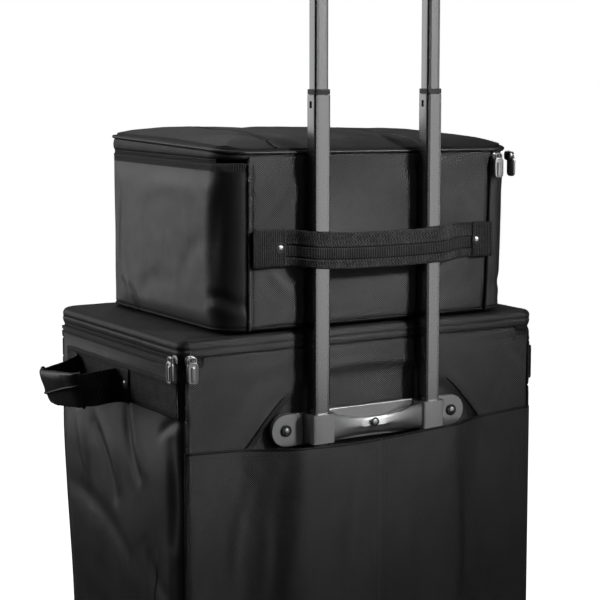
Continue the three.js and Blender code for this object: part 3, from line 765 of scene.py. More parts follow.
# piping up the case's four upright seams
for sx, side in ((1, "left"), (-1, "right")):
    zz = np.linspace(-447, -37, 130)
    d = case_disp(np.full(130, sx * 233.0), np.full(130, -3.0), np.full(130, 7 if sx > 0 else 1), zz) * 0.5
    c = np.stack([sx * (225 + 0.4226 * (11.6 + d)), -11 + 0.9063 * (11.6 + d), zz], -1)
    c = np.concatenate([c, [[sx * 229.2, -1.6, -30.0], [sx * 228.4, -3.0, -24.5]]])
    strip_on(taper(c), None, "case_rear_piping_" + side, 1.8)
    zz = np.linspace(-505, -25, 150)
    d = case_disp(np.full(150, sx * 229.0), np.full(150, -310.0), np.full(150, 5 if sx > 0 else 3), zz)
    c = np.stack([sx * (220 + 0.7071 * (16.4 + d)), -303 - 0.7071 * (16.4 + d), zz], -1)
    strip_on(taper(c), None, "case_front_piping_" + side, 2.2)

# piping round the foot of the case, between the wheel notches
_m = ~NOTCH
for name, sel in (("rear", np.where(_m & (CW == 0))[0]), ("front", np.where(_m & np.isin(CW, (2, 3, 4, 5, 6)))[0])):
    d = case_disp(CP[sel, 0], CP[sel, 1], CW[sel], np.full(len(sel), -500.0))
    c = np.stack([CP[sel, 0] + CN[sel, 0] * (d + 0.2), CP[sel, 1] + CN[sel, 1] * (d + 0.2), np.full(len(sel), -501.0)], -1)
    strip_on(taper(c), None, "case_base_piping_" + name, 2.4)


# ---- zips: woven tapes with a row of teeth ---------------------------------------------------------
def zip_chain(name, P, N, sel, z0, z1, body, node, lift=None, depth=2.0):
    b = Build()
    p, n = P[sel], N[sel]
    h = np.zeros(len(sel)) if lift is None else lift(p[:, 0], p[:, 1])
    zc = (z0 + z1) / 2 + h
    path = np.stack([p[:, 0] - n[:, 0] * (depth + 0.9), p[:, 1] - n[:, 1] * (depth + 0.9), zc], -1)
    n3 = np.stack([n[:, 0], n[:, 1], np.zeros(len(n))], -1)
    hw = (z1 - z0) / 2 + 0.9
    sec = [(-hw, -0.6), (-hw, 1.2), (-hw * 0.6, 1.65), (-0.75, 1.75), (-0.42, 1.3), (-0.3, 0.1), (0.3, 0.1), (0.42, 1.3), (0.75, 1.75), (hw * 0.6, 1.65), (hw, 1.2), (hw, -0.6)]
    v, f = ribbon(rel(path), np.repeat([[0, 0, 1.0]], len(path), 0), n3, sec)
    b.add(v, f, 0)
    dist = np.r_[0, np.cumsum(np.linalg.norm(np.diff(path, axis=0), axis=1))]
    pitch = 1.75
    q = (np.arange(int(dist[-1] / pitch)) + 0.5) * pitch
    c = np.stack([np.interp(q, dist, path[:, i]) for i in range(3)], -1)
    nn = np.stack([np.interp(q, dist, n3[:, i]) for i in range(3)], -1)
    nn /= np.linalg.norm(nn, axis=1)[:, None]
    tt = np.stack([-nn[:, 1], nn[:, 0], np.zeros(len(nn))], -1)
    V, F = [], []
    for i in range(len(q)):
        o = c[i] + nn[i] * 0.9
        s = 0.34 if i % 2 else -0.34
        base = len(V)
        for zz, ww, dd in ((-0.9 + s, 0.36, -0.25), (-0.5 + s, 0.5, 0.15), (0.5 + s, 0.5, 0.15), (0.9 + s, 0.36, -0.25)):
            for a, bb in ((-ww, -0.3), (ww, -0.3), (ww * 0.7, dd), (-ww * 0.7, dd)):
                V.append(o + tt[i] * a + nn[i] * bb + np.array([0, 0, zz]))
        for r in range(3):
            for k in range(4):
                k2 = (k + 1) % 4
                F.append((base + r * 4 + k, base + r * 4 + k2, base + (r + 1) * 4 + k2, base + (r + 1) * 4 + k))
        F.append((base + 3, base + 2, base + 1, base))
        F.append((base + 12, base + 13, base + 14, base + 15))
    b.add(rel(np.array(V)), F, 1)
    return fix_normals(b.make(name, [M_TAPE, M_COIL], body, "zip_tape", (node,), angle=40))


_order = np.r_[np.where((CW == 0) & (CP[:, 0] < -208))[0], np.where((CW > 0))[0], np.where((CW == 0) & (CP[:, 0] > 208))[0]]
zip_chain("case_zip_teeth_and_tapes", CP, CN, _order, -24.3, -20.3, "case", "case_zip_chain")


# ---- case lid -----------------------------------------------------------------------------------------
def lid_top(x, y):
    d = np.minimum(np.minimum(236 - np.abs(x), -y), y + 317)
    return -1.2 + 1.6 * sstep(4, 40, d) - 3.4 * sstep(20, -4, d) + fbm(x, y, 0 * x, 60, 60, 50, 41, 3) * 0.45 * sstep(6, 30, d)


def case_lid():
    rows = []

    def ring(ins, z, extra=0.0):
        return np.stack([CP[:, 0] - CN[:, 0] * (ins - extra), CP[:, 1] - CN[:, 1] * (ins - extra), np.broadcast_to(z, len(CP))], -1)

    rows.append(ring(9.5, -13.0))
    rows.append(ring(8.6, -19.2))
    rows.append(ring(4.5, -20.0))
    rows.append(ring(1.2, -20.0))
    wave = fbm(CP[:, 0], CP[:, 1], 0 * CP[:, 0], 26, 26, 20, 44, 2) * 0.5
    for ins, z in ((0.3, -19.4), (0.1, -18.2), (-0.4, -16.4), (-0.8, -14.5), (-0.2, -12.9), (0.35, -12.0), (-0.1, -11.1), (-0.6, -9.6), (-0.6, -8.0), (-0.2, -6.6), (0.7, -4.9), (2.2, -3.4), (4.3, -2.4), (7.5, -1.6)):
        rows.append(ring(ins, z + 0.25 * wave, wave * (z > -12) * 0.6 + wave * 0.4 * (z > -16)))
    c = np.array([0.0, -158.5])
    for u in np.linspace(0.06, 0.97, 38):
        q = c + (CP - c) * (1 - u)
        rows.append(np.stack([q[:, 0], q[:, 1], np.maximum(lid_top(q[:, 0], q[:, 1]), -2.0) - 0.0], -1))
    v, f = loft(rel(np.array(rows)))
    n = len(CP)
    mats = [1 if (len(face) == 4 and face[0] // n >= 17) or (len(face) == 3 and face[1] >= n) else (0 if len(face) == 4 and CW[face[0] % n] == 0 else 1) for face in f]
    ob = Build().add(v, f, mats).make("case_lid_fabric", [M_REAR, M_LID], "case_lid", "case_fabric", ("case_lid",))
    b = Build()
    p = np.stack([CP[:, 0] + CN[:, 0] * 0.1, CP[:, 1] + CN[:, 1] * 0.1, np.full(len(CP), -12.0) + 0.25 * wave], -1)
    n3 = np.stack([CN[:, 0], CN[:, 1], 0 * CN[:, 0]], -1)
    p, n3 = np.concatenate([p, p[:1]]), np.concatenate([n3, n3[:1]])
    b.add(*stitches(rel(p), n3, 3.6, 2.6, 0.4, -0.1))
    b.make("case_lid_stitches", [M_THREAD], "case_lid", "webbing")
    # padded lining under the lid
    rows = []
    for ins, z in ((60, -17.2), (30, -17.2), (16, -16.8), (12.5, -15.8), (11.2, -14.4), (11.6, -13.1)):
        rows.append(ring(ins, z))
    q0 = rows[0]
    cc = q0.mean(0)
    inner = [cc + (q0 - cc) * s for s in (0.03, 0.2, 0.4, 0.6, 0.8)]
    for r in inner:
        r[:, 2] = -17.2
    rows = inner + rows
    rows.append(ring(30, -12.9))
    rows = [np.stack([r[:, 0], r[:, 1], r[:, 2] + 1.2 * (np.exp(-(((r[:, 0] + 240) % 60 - 30) / 4.0) ** 2) + np.exp(-(((r[:, 1] + 320) % 60 - 30) / 4.0) ** 2)) * (k < 8)], -1) for k, r in enumerate(rows)]
    v, f = loft(rel(np.array(rows)))
    ob = Build().add(v, f, 0).make("case_lid_lining", [M_LINING], "case_lid", "lining")


case_lid()


# ---- liners ----------------------------------------------------------------------------------------------
def liner(name, node, x0, x1, yf, z0, z1, wall, body, seed, notch=False, pitch=58.0):
    P, N, W = outline(x0, x1, yf, -6.6, 14.0, 16.0, nr=70, ns=50, nf=70, nc=5)
    if notch:
        m = (np.abs(P[:, 0]) > 180) & (P[:, 1] > -68)
    rows = []

    def ring(ins, z, q=0.0):
        s = cyc(P)
        quilt = q * (np.exp(-(((s % pitch) - pitch / 2) / 3.0) ** 2) + np.exp(-((((np.asarray(z) + 520) % pitch) - pitch / 2) / 3.0) ** 2))
        Q = P - N * (ins + wall * 0.0)[..., None] if isinstance(ins, np.ndarray) else P - N * ins
        return np.stack([Q[:, 0] + N[:, 0] * quilt, Q[:, 1] + N[:, 1] * quilt, np.broadcast_to(z, len(P))], -1)

    def inward(r, lim):
        if not notch:
            return r
        r = r.copy()
        low = r[:, 2] < -428
        sel = m & low
        far = np.abs(r[:, 0]) > 181 - lim
        back = r[:, 1] > -70 - lim
        both = sel & far & back
        onrear = both & (P[:, 1] > -12)
        r[onrear, 1] = -70 - lim + 0 * r[onrear, 1] + (1 - np.clip((np.abs(P[onrear, 0]) - 180) / 38, 0, 1)) * (63.0)
        r[onrear, 0] = np.sign(P[onrear, 0]) * (181 - lim)
        rest = both & ~onrear
        r[rest, 1] = -70 - lim
        return r

    rows.append(inward(ring(2.0, z0), 0))
    for z in np.linspace(z0 + 3, z1 - 2, 24):
        rows.append(inward(ring(0.0, z), 0))
    rows.append(ring(0.8, z1))
    rows.append(ring(wall - 0.8, z1))
    for z in np.linspace(z1 - 2, z0 + wall + 3, 60):
        rows.append(inward(ring(wall + 0.6, z, 1.3), wall))
    rows.append(inward(ring(wall + 3.5, z0 + wall), wall))
    v, f = loft(rel(np.array(rows)))
    ob = Build().add(v, f, 0).make(name, [M_LINING], body, "lining", (node,))
    return ob


liner("case_quilted_liner", "case_liner", -229.4, 229.4, -296.0, -505.0, -27.6, 7.0, "case", 5, notch=True)
liner("bag_quilted_liner", "bag_liner", -190.0, 175.0, -270.0, 9.0, 178.5, 6.0, "bag", 6, pitch=48.0)


# ---- rear pocket of the case ------------------------------------------------------------------------------
def pocket_top(x):
    xs = np.array([-233, -209, -182, -156, -110, -62, 12, 55, 89, 150, 193, 233.0])
    zs = np.array([-118, -118, -120.5, -121.3, -121.3, -123.2, -127.5, -127.6, -126.2, -125.4, -123, -121.5])
    return sum(np.interp(np.asarray(x) + o, xs, zs) for o in (-18, -9, 0, 9, 18)) / 5


def pocket_out(x, z):
    a = np.abs(x)
    prof = 1 - sstep(94, 168, a)
    low = sstep(-504, -490, z)
    b = 3.4 + 23.4 * prof * (0.93 + 0.07 * low)
    t = pocket_top(x) - z
    mid = (1 - sstep(60, 100, a))
    b = b - 0.7 * mid * np.cos(x / 22.0) * prof
    soft = fbm(x, 0 * x, z, 44, 50, 90, 51, 3) * 1.4 * sstep(0, 30, t) * sstep(233, 205, a)
    b = b + soft + fold(x, z, (116, -140), (128, -300), 9, -2.6, 5) + fold(x, z, (-118, -140), (-126, -330), 9, -2.4, -5)
    b = b + fold(x, z, (150, -150), (176, -260), 8, 1.8, 4) + fold(x, z, (-170, -150), (-150, -280), 8, 1.8, 4) + fold(x, z, (30, -150), (42, -260), 8, 1.0, 3) + fold(x, z, (-48, -160), (-40, -300), 8, -1.0, 3)
    b = b - 0.9 * np.exp(-((x + 2.0) / 1.6) ** 2)
    return np.clip(b, 2.6, 28.0 + 1.2)


def rear_pocket():
    nx, nz = 190, 130
    xs = np.linspace(-232.0, 232.0, nx)
    t = np.linspace(0, 1, nz)
    X, T = np.meshgrid(xs, t)
    edge = sstep(192, 188, np.abs(X)) 
    zb = np.where(np.abs(X) > 189.0, -446.5, -503.0)
    ztop = pocket_top(X)
    Z = zb + (ztop - zb) * T
    YO = pocket_out(X, Z)
    taper_x = sstep(0, 1, np.clip((232 - np.abs(X)) / 6.0, 0, 1))
    YO = 0.9 + (YO - 0.9) * taper_x
    YI = np.clip(YO - 2.3, 0.45, None)
    front = np.stack([X, YO, Z], -1)
    back = np.stack([X, YI, Z], -1)
    v = np.concatenate([front.reshape(-1, 3), back.reshape(-1, 3)])
    f = []
    o = nx * nz
    for i in range(nz - 1):
        for j in range(nx - 1):
            a, b_, c, d = i * nx + j, i * nx + j + 1, (i + 1) * nx + j + 1, (i + 1) * nx + j
            f.append((d, c, b_, a))
            f.append((o + a, o + b_, o + c, o + d))
    for i in range(nz - 1):
        a, d = i * nx, (i + 1) * nx
        f.append((a, o + a, o + d, d))
        a, d = i * nx + nx - 1, (i + 1) * nx + nx - 1
        f.append((d, o + d, o + a, a))
    for j in range(nx - 1):
        f.append((j + 1, o + j + 1, o + j, j))
        a = (nz - 1) * nx + j
        f.append((a, o + a, o + a + 1, a + 1))
    ob = Build().add(rel(v), f, 0).make("case_rear_pocket_fabric", [M_REAR], "case", "case_fabric", ("case_rear_pocket",))
    fix_normals(ob)
    # bound top edge
    xx = np.linspace(-231, 231, 260)
    zt = pocket_top(xx)
    yo = np.interp(np.arange(260), np.arange(260), pocket_out(xx, zt))
    yo = 0.9 + (yo - 0.9) * sstep(0, 1, np.clip((232 - np.abs(xx)) / 6.0, 0, 1))
    c = np.stack([xx, yo - 1.15, zt - 1.2], -1)
    v, f = sweep(rel(c), 1.3, 12, ry=2.0, up=(0, 0, 1))
    Build().add(v, f).make("case_pocket_binding", [M_WELT], "case", "webbing")
    b = Build()
    for x0, x1 in ((97, 229), (-229, -182)):
        q = np.linspace(x0, x1, 60)
        z = pocket_top(q) - 6.8
        y = pocket_out(q, z)
        b.add(*stitches(rel(np.stack([q, y, z], -1)), (0, 1, 0), 3.4, 2.5, 0.38, 0.0))
    q = np.linspace(-440, -135, 150)
    for x in (4.2, -8.2):
        b.add(*stitches(rel(np.stack([np.full(150, x), pocket_out(np.full(150, x), q), q], -1)), (0, 1, 0), 3.4, 2.5, 0.36, 0.0, up=(0, 1, 0)))
    b.make("case_pocket_stitches", [M_THREAD], "case", "webbing")


rear_pocket()


# ---- upper bag ---------------------------------------------------------------------------------------------
BX0, BX1, BYF = -204.0, 184.0, -278.0
BP, BN, BW = outline(BX0, BX1, BYF - 2.0, 0.0, 33.0, 15.0, nr=150, ns=92, nf=120, nc=20)


def bag_lift(x, y):
    return 0.8 * sstep(-120, 184, x) * np.clip(-y / 278.0, 0, 1)


def bag_rim(x, y):
    return 192.6 + 0.0125 * (x + 10) + sstep(0, -40, y) * 2.6 + np.clip(-y / 278.0, 0, 1) * (2.6 + 2.9 * sstep(-120, 184, x))


def bag_disp(x, y, w, z):
    rear = np.isin(w, (0,)) * 1.0
    sl = np.isin(w, (5, 6, 7)) * 1.0
    sr = np.isin(w, (1, 2, 3)) * 1.0
    front = np.isin(w, (4,)) * 1.0
    up = sstep(0, 22, z) * sstep(178, 150, z)
    # rear panel, pulled in at the strap's ends
    r = 2.2 * up * sstep(160, 120, np.abs(x + 10)) + fbm(x, y, z, 60, 60, 40, 61, 3) * 0.9 * up
    r = r + fold(x, z, (120, 66), (60, 30), 8, -1.8, 4) + fold(x, z, (-146, 62), (-96, 26), 8, -1.8, -4) + fold(x, z, (128, 68), (104, 44), 5, 2.0, 2)
    r = r + fold(x, z, (-120, 150), (90, 156), 9, 0.9, 5) + fold(x, z, (-60, 18), (80, 24), 7, -1.0, 4) + fold(x, z, (140, 120), (110, 150), 7, -1.2, 3) + fold(x, z, (-160, 116), (-130, 152), 7, -1.2, -3)
    # upright seams sit in a shallow valley
    r = r - 1.5 * np.exp(-((x - 149.0) / 2.6) ** 2) - 1.5 * np.exp(-((x + 169.0 - 0.04 * (188 - z)) / 2.6) ** 2)
    e = sstep(0, -40, y) * sstep(-278, -240, y)
    s = 2.6 * up * e + fbm(x, y, z, 80, 80, 80, 66, 2) * 0.55 * up
    s = s + fold(y, z, (-26, 42), (-4, 32), 6, -2.6, 2) + fold(y, z, (-30, 28), (-2, 20), 6, 1.6, 2) + fold(y, z, (-22, 60), (-14, 150), 10, -2.2, 4)
    s = s + fold(y, z, (-244, 34), (-222, 4), 4, -2.0, 1) + fold(y, z, (-234, 36), (-210, 4), 4.5, 1.6, 1) + fold(y, z, (-222, 30), (-200, 4), 4, -1.8, 1) + fold(y, z, (-190, 34), (-120, 46), 12, -1.2, 6) + fold(y, z, (-200, 140), (-70, 150), 12, 1.2, 6) + fold(y, z, (-262, 60), (-252, 140), 10, -1.8, 3) + fold(y, z, (-90, 60), (-40, 100), 12, -1.0, 6)
    q = (s * 0.6) + fbm(x, y, z, 60, 60, 60, 77, 3) * 1.0 * up
    q = q + np.interp(z, [0, 34, 123, 150, 168, 188], [-9.5, -9.5, -2.0, -0.2, 0.0, 0.0]) * sstep(0, -24, y)
    fz = 4.5 * up * sstep(190, 140, np.abs(x + 10)) + fbm(x, y, z, 70, 70, 50, 88, 3) * 1.8 * up + fold(x, z, (-120, 60), (-20, 120), 12, -2.0, 8) + fold(x, z, (40, 40), (120, 110), 12, -2.0, -8)
    d = rear * r + sl * s + sr * q + front * fz
    corner_fix = (w == 7) * 0.0
    tape = ridges(z, (175.6, 178.8, 182.0), 1.0, 0.6) * (rear < 0.5)
    return d * sstep(188, 170, z) + 0.0 + tape + corner_fix


def bag_shell():
    nz = 62
    rows = []

    def ring(ins, z, d=0.0):
        zz = np.broadcast_to(np.asarray(z, float), len(BP))
        up = bag_lift(BP[:, 0], BP[:, 1]) * sstep(40, 175, zz)
        return np.stack([BP[:, 0] - BN[:, 0] * (ins - d), BP[:, 1] - BN[:, 1] * (ins - d), zz + up], -1)

    bag_top = np.where(BW == 0, bag_rim(BP[:, 0], BP[:, 1]) - 3.4, 182.7)
    base_d = bag_disp(BP[:, 0], BP[:, 1], BW, np.full(len(BP), 8.0))
    for ins, z in ((60, 1.0), (30, 0.9), (16, 0.8), (9, 1.2), (4.5, 2.6), (1.6, 5.0)):
        rows.append(ring(ins, z, base_d * sstep(30, 4, ins)))
    for z in np.linspace(8, 182.7, nz):
        zz = 8 + (z - 8) * (bag_top - 8) / (182.7 - 8)
        rows.append(ring(0.0, zz, bag_disp(BP[:, 0], BP[:, 1], BW, zz)))
    rim = bag_disp(BP[:, 0], BP[:, 1], BW, np.full(len(BP), 182.7))
    rows.append(ring(3.4, bag_top + 0.3, rim))
    rows.append(ring(5.0, bag_top - 0.1, rim))
    for z in (178.0, 120.0, 60.0, 16.0):
        rows.append(ring(np.where(BP[:, 0] < -150, 8.5, 5.6), z))
    rows.append(ring(12.0, 8.0))
    v, f = loft(rel(np.array(rows)))
    n = len(BP)
    mats = []
    for face in f:
        if len(face) == 4:
            ringi, col = divmod(face[0], n)
            z = rows[ringi][col][2]
            if 6 <= ringi < 6 + nz and BW[col] != 0 and z - bag_lift(BP[col, 0], BP[col, 1]) > 173.6:
                mats.append(2)
            elif ringi >= nz + 8:
                mats.append(3)
            else:
                mats.append(0 if BW[col] == 0 else 1)
        else:
            mats.append(3 if face[1] > n * 20 else 1)
    ob = Build().add(v, f, mats).make("bag_body_fabric", [M_REAR, M_SIDE, M_TAPE, M_LINING], "bag", "case_fabric", ("bag_shell",))
    # piping up the rear seams
    for x0, x1, nm in ((151.0, 151.0, "left"), (-170.0, -163.5, "right")):
        zz = np.linspace(2.5, 181.5, 90)
        xx = np.interp(zz, [0, 188], [x1, x0])
        xx = xx + (2.4 if nm == "left" else 0.0)
        yy = 1.2 + 0.5 * bag_disp(xx - 8 * np.sign(xx), 0 * xx, np.zeros(90, int), zz)
        strip_on(np.stack([xx, yy, zz], -1), None, "bag_rear_piping_" + nm, 1.7, body="bag")
        b = Build()
        side = -7.0 if nm == "left" else 7.0
        b.add(*stitches(rel(np.stack([xx + side, bag_disp(xx + side, 0 * xx, np.zeros(90, int), zz) + 0.1, zz], -1)), (0, 1, 0), 3.4, 2.5, 0.34, 0.0, up=(0, 1, 0)))
        b.make("bag_rear_stitches_" + nm, [M_THREAD], "bag", "webbing")
    d = bag_disp(BP[:, 0], BP[:, 1], BW, np.full(len(BP), 5.0))
    c = np.stack([BP[:, 0] + BN[:, 0] * (d - 1.2), BP[:, 1] + BN[:, 1] * (d - 1.2), np.full(len(BP), 4.6)], -1)
    strip_on(c, None, "bag_base_piping", 1.8, mat=M_WELT, body="bag", closed=True)


bag_shell()
_order = np.r_[np.where((BW > 0) & (BW < 7))[0], np.where(BW == 7)[0]]
_order = _order[(BP[_order, 1] < -20)]
_bd = bag_disp(BP[:, 0], BP[:, 1], BW, np.full(len(BP), 183.0))
BP_ZIP = BP + BN * _bd[:, None]
zip_chain("bag_zip_teeth_and_tapes", BP_ZIP, BN, _order, 183.2, 187.2, "bag", "bag_zip_chain", lift=bag_lift, depth=1.6)


def bag_crown(x, y):
    """Height of the bag lid's top at a plan point."""
    dx = np.minimum(x - BX0, BX1 - x)
    dy_r, dy_f = -y, y + 278
    k = 1 - np.exp(-np.minimum(dx * 0.75, np.minimum(dy_r * 0.62, dy_f * 0.7)) / 20.0)
    z = bag_rim(x, y) + 1.2 + 12.6 * k + 1.6 * np.sin(np.clip(-y / 278, 0, 1) * math.pi)
    z = z - 2.6 * np.exp(-((x - 115 - 0.02 * y) / 2.0) ** 2) * sstep(4, 14, dy_r) - 2.6 * np.exp(-((x + 79 + 0.02 * y) / 2.0) ** 2) * sstep(4, 14, dy_r)
    z = z + fbm(x, y, 0 * x, 60, 70, 50, 91, 3) * 1.5 * k + fold(x, y, (60, -10), (84, -60), 9, 1.2, 3) + fold(x, y, (-40, -8), (-52, -66), 8, 1.3, 2) + fold(x, y, (10, -8), (4, -50), 8, 0.9, 2)
    return z


def bag_lid():
    rows = []
    n = len(BP)
    out = _bd * 0.85
    L = bag_lift(BP[:, 0], BP[:, 1])
    R = bag_rim(BP[:, 0], BP[:, 1]) + L
    wave = fbm(BP[:, 0], BP[:, 1], 0 * BP[:, 0], 24, 24, 20, 95, 2)

    def ring(ins, z, wv=0.0):
        return np.stack([BP[:, 0] + BN[:, 0] * (out - ins + wv * wave), BP[:, 1] + BN[:, 1] * (out - ins + wv * wave), np.broadcast_to(z, n)], -1)

    b0 = np.where(BW == 0, R - 2.9, 187.2 + L)
    rows += [ring(9.0, b0 + 2.5), ring(8.0, b0 + 0.4), ring(4.0, b0), ring(1.0, b0)]
    for t, ins in ((0.08, 0.1), (0.25, -0.6), (0.5, -0.7), (0.72, -0.2), (0.85, 0.5)):
        rows.append(ring(ins, b0 + (R - 1.5 - b0) * t, 0.3))
    rows.append(ring(1.5, R - 1.6, 0.3))
    rows.append(ring(2.6, R + 0.2, 0.3))
    c = np.array([-10.0, -139.0])
    for ins in (4.5, 7.0, 10.0, 13.5, 17.5, 22.0, 27.0):
        q = BP + BN * (out - ins)[:, None]
        rows.append(np.stack([q[:, 0], q[:, 1], bag_crown(q[:, 0], q[:, 1]) + bag_lift(q[:, 0], q[:, 1])], -1))
    q0 = BP + BN * (out - 27.0)[:, None]
    for u in np.linspace(0.05, 0.97, 40):
        q = c + (q0 - c) * (1 - u)
        rows.append(np.stack([q[:, 0], q[:, 1], bag_crown(q[:, 0], q[:, 1]) + bag_lift(q[:, 0], q[:, 1])], -1))
    # underside
    v, f = loft(rel(np.array(rows)))
    mats = []
    for face in f:
        ringi, col = divmod(face[0], n)
        if len(face) == 3:
            mats.append(1 if face[1] > n * 5 else 3)
        elif ringi < 3:
            mats.append(3)
        else:
            mats.append(2 if ringi < 10 and BW[col] == 0 else 1)
    ob = Build().add(v, f, mats).make("bag_lid_fabric", [M_REAR, M_LID, M_TAPE, M_LINING], "bag_lid", "case_fabric", ("bag_lid",))
    p = np.stack([BP[:, 0] + BN[:, 0] * (out + 0.1), BP[:, 1] + BN[:, 1] * (out + 0.1), R - 0.6], -1)
    strip_on(p, None, "bag_lid_piping", 2.0, body="bag_lid", closed=True)
    b = Build()
    for x0, sgn in ((115, 0.02), (-79, -0.02)):
        for off in (-3.4, 3.4):
            yy = np.linspace(-12, -266, 120)
            xx = x0 + sgn * yy + off
            b.add(*stitches(rel(np.stack([xx, yy, bag_crown(xx, yy) + bag_lift(xx, yy)], -1)), (0, 0, 1), 3.4, 2.5, 0.36, 0.0, up=(1, 0, 0)))
    b.make("bag_lid_stitches", [M_THREAD], "bag_lid", "webbing")
    b = Build()
    for x0, sgn in ((115, 0.02), (-79, -0.02)):
        yy = np.linspace(-5, -273, 160)
        xx = x0 + sgn * yy
        b.add(*sweep(rel(np.stack([xx, yy, bag_crown(xx, yy) + bag_lift(xx, yy) + 0.7], -1)), 1.25, 8, up=(0, 0, 1)))
    b.make("bag_lid_welts", [M_WELT], "bag_lid", "webbing")


bag_lid()


# ---- strap over the handle tubes -----------------------------------------------------------------------
def smooth_path(pts, n):
    """Catmull-Rom through the points, evenly spaced."""
    p = np.asarray(pts, float)
    p = np.concatenate([2 * p[:1] - p[1:2], p, 2 * p[-1:] - p[-2:-1]])
    out = []
    for i in range(1, len(p) - 2):
        for t in np.linspace(0, 1, 24, endpoint=False):
            a, b, c, d = p[i - 1], p[i], p[i + 1], p[i + 2]
            out.append(0.5 * (2 * b + (c - a) * t + (2 * a - 5 * b + 4 * c - d) * t ** 2 + (3 * b - a - 3 * c + d) * t ** 3))
    out.append(p[-2])
    out = np.array(out)
    s = np.r_[0, np.cumsum(np.linalg.norm(np.diff(out, axis=0), axis=1))]
    q = np.linspace(0, s[-1], n)
    return np.stack([np.interp(q, s, out[:, i]) for i in range(3)], -1)


def web_strip(path, up, width, thick, name, body, mats, bands=None, k=25, replaces=(), flip=1.0, slot="webbing", profile=None, ride=True):
    """A woven strap: its width runs along up, its outer face is path tangent x up."""
    p = np.asarray(path, float)
    u = np.asarray(up, float)
    if u.ndim == 1:
        u = np.repeat(u[None], len(p), 0)
    t = np.gradient(p, axis=0)
    t /= np.linalg.norm(t, axis=1)[:, None]
    nn = np.cross(t, u) * flip
    nn /= np.linalg.norm(nn, axis=1)[:, None]
    h = width / 2
    xs = np.linspace(-h, h, k)
    bump = np.zeros(k)
    if profile is not None:
        bump = profile(xs)
    edge = -0.42 * thick * (np.abs(xs) / h) ** 14
    sec = np.concatenate([np.stack([xs, thick / 2 + bump + edge], -1), np.stack([xs[::-1], -thick / 2 - edge[::-1]], -1)])
    v, f = ribbon(rel(p), u, nn, sec)
    m = len(p)
    mi = []
    K = len(sec)
    for idx, face in enumerate(f):
        j = idx % K
        if idx < (m - 1) * K and bands is not None and j < k - 1:
            mi.append(bands((xs[j] + xs[j + 1]) / 2))
        else:
            mi.append(0)
    ob = Build().add(v, f, mi).make(name, mats, body, slot, replaces, ride=ride)
    return fix_normals(ob)


def strap_profile(xs):
    return 0.6 * sstep(19.5, 18.6, np.abs(xs)) - 0.95 * np.exp(-((xs - 3.4) / 0.9) ** 2) - 0.95 * np.exp(-((xs + 9.6) / 0.9) ** 2) + 0.35 * np.exp(-((xs - 5.6) / 1.2) ** 2) + 0.35 * np.exp(-((xs + 11.8) / 1.2) ** 2)


_pts = [(150.0, 3.4, 91.2), (130.0, 4.0, 91.0), (112.0, 4.6, 90.8), (101.0, 9.5, 90.4), (91.5, 20.5, 89.6), (82.0, 26.6, 88.6), (60.0, 27.4, 87.2), (20.0, 26.8, 85.8),
        (-30.0, 26.8, 85.6), (-62.0, 27.4, 86.2), (-84.0, 26.6, 86.8), (-97.0, 19.0, 87.0), (-112.0, 8.5, 87.2), (-127.0, 4.4, 87.2), (-145.0, 3.8, 87.2), (-168.0, 3.2, 87.2)]
_path = smooth_path(_pts, 240)
_path[:, 1] += 0.35 * np.sin(_path[:, 0] / 17.0) * sstep(100, 60, np.abs(_path[:, 0]))
web_strip(_path, (0, 0, 1), 40.0, 2.2, "bag_strap_webbing", "bag", [M_WEB, M_RIB, M_WELT], bands=lambda a: 2 if abs(a - 3.4) < 0.7 or abs(a + 9.6) < 0.7 else (1 if -9.6 < a < 3.4 else 0), k=57, replaces=("bag_rear_strap",), profile=strap_profile, flip=1.0)


def box_stitch(x0, x1, z0, z1, y, name):
    b = Build()
    for a, c in (((x0, z0), (x1, z0)), ((x1, z0), (x1, z1)), ((x1, z1), (x0, z1)), ((x0, z1), (x0, z0))):
        q = np.linspace(0, 1, 14)
        p = np.stack([a[0] + (c[0] - a[0]) * q, np.full(14, y), a[1] + (c[1] - a[1]) * q], -1)
        b.add(*stitches(rel(p), (0, 1, 0), 3.0, 2.3, 0.42, 0.0))
    b.make(name, [M_THREAD], "bag", "webbing")


for x0, x1, zc, nm in ((151.0, 110.5, 91.4, "left"), (-140.0, -168.6, 87.4, "right")):
    q = np.linspace(x0, x1, 40)
    web_strip(np.stack([q, 6.15 + 0 * q, zc + 0 * q], -1), (0, 0, 1), 41.0, 1.7, "strap_end_patch_" + nm, "bag", [M_RIB], k=25, flip=1.0)
box_stitch(113.5, 147, 74, 109, 7.0, "strap_stitches_left")
box_stitch(-166, -142.5, 70, 105, 7.0, "strap_stitches_right")


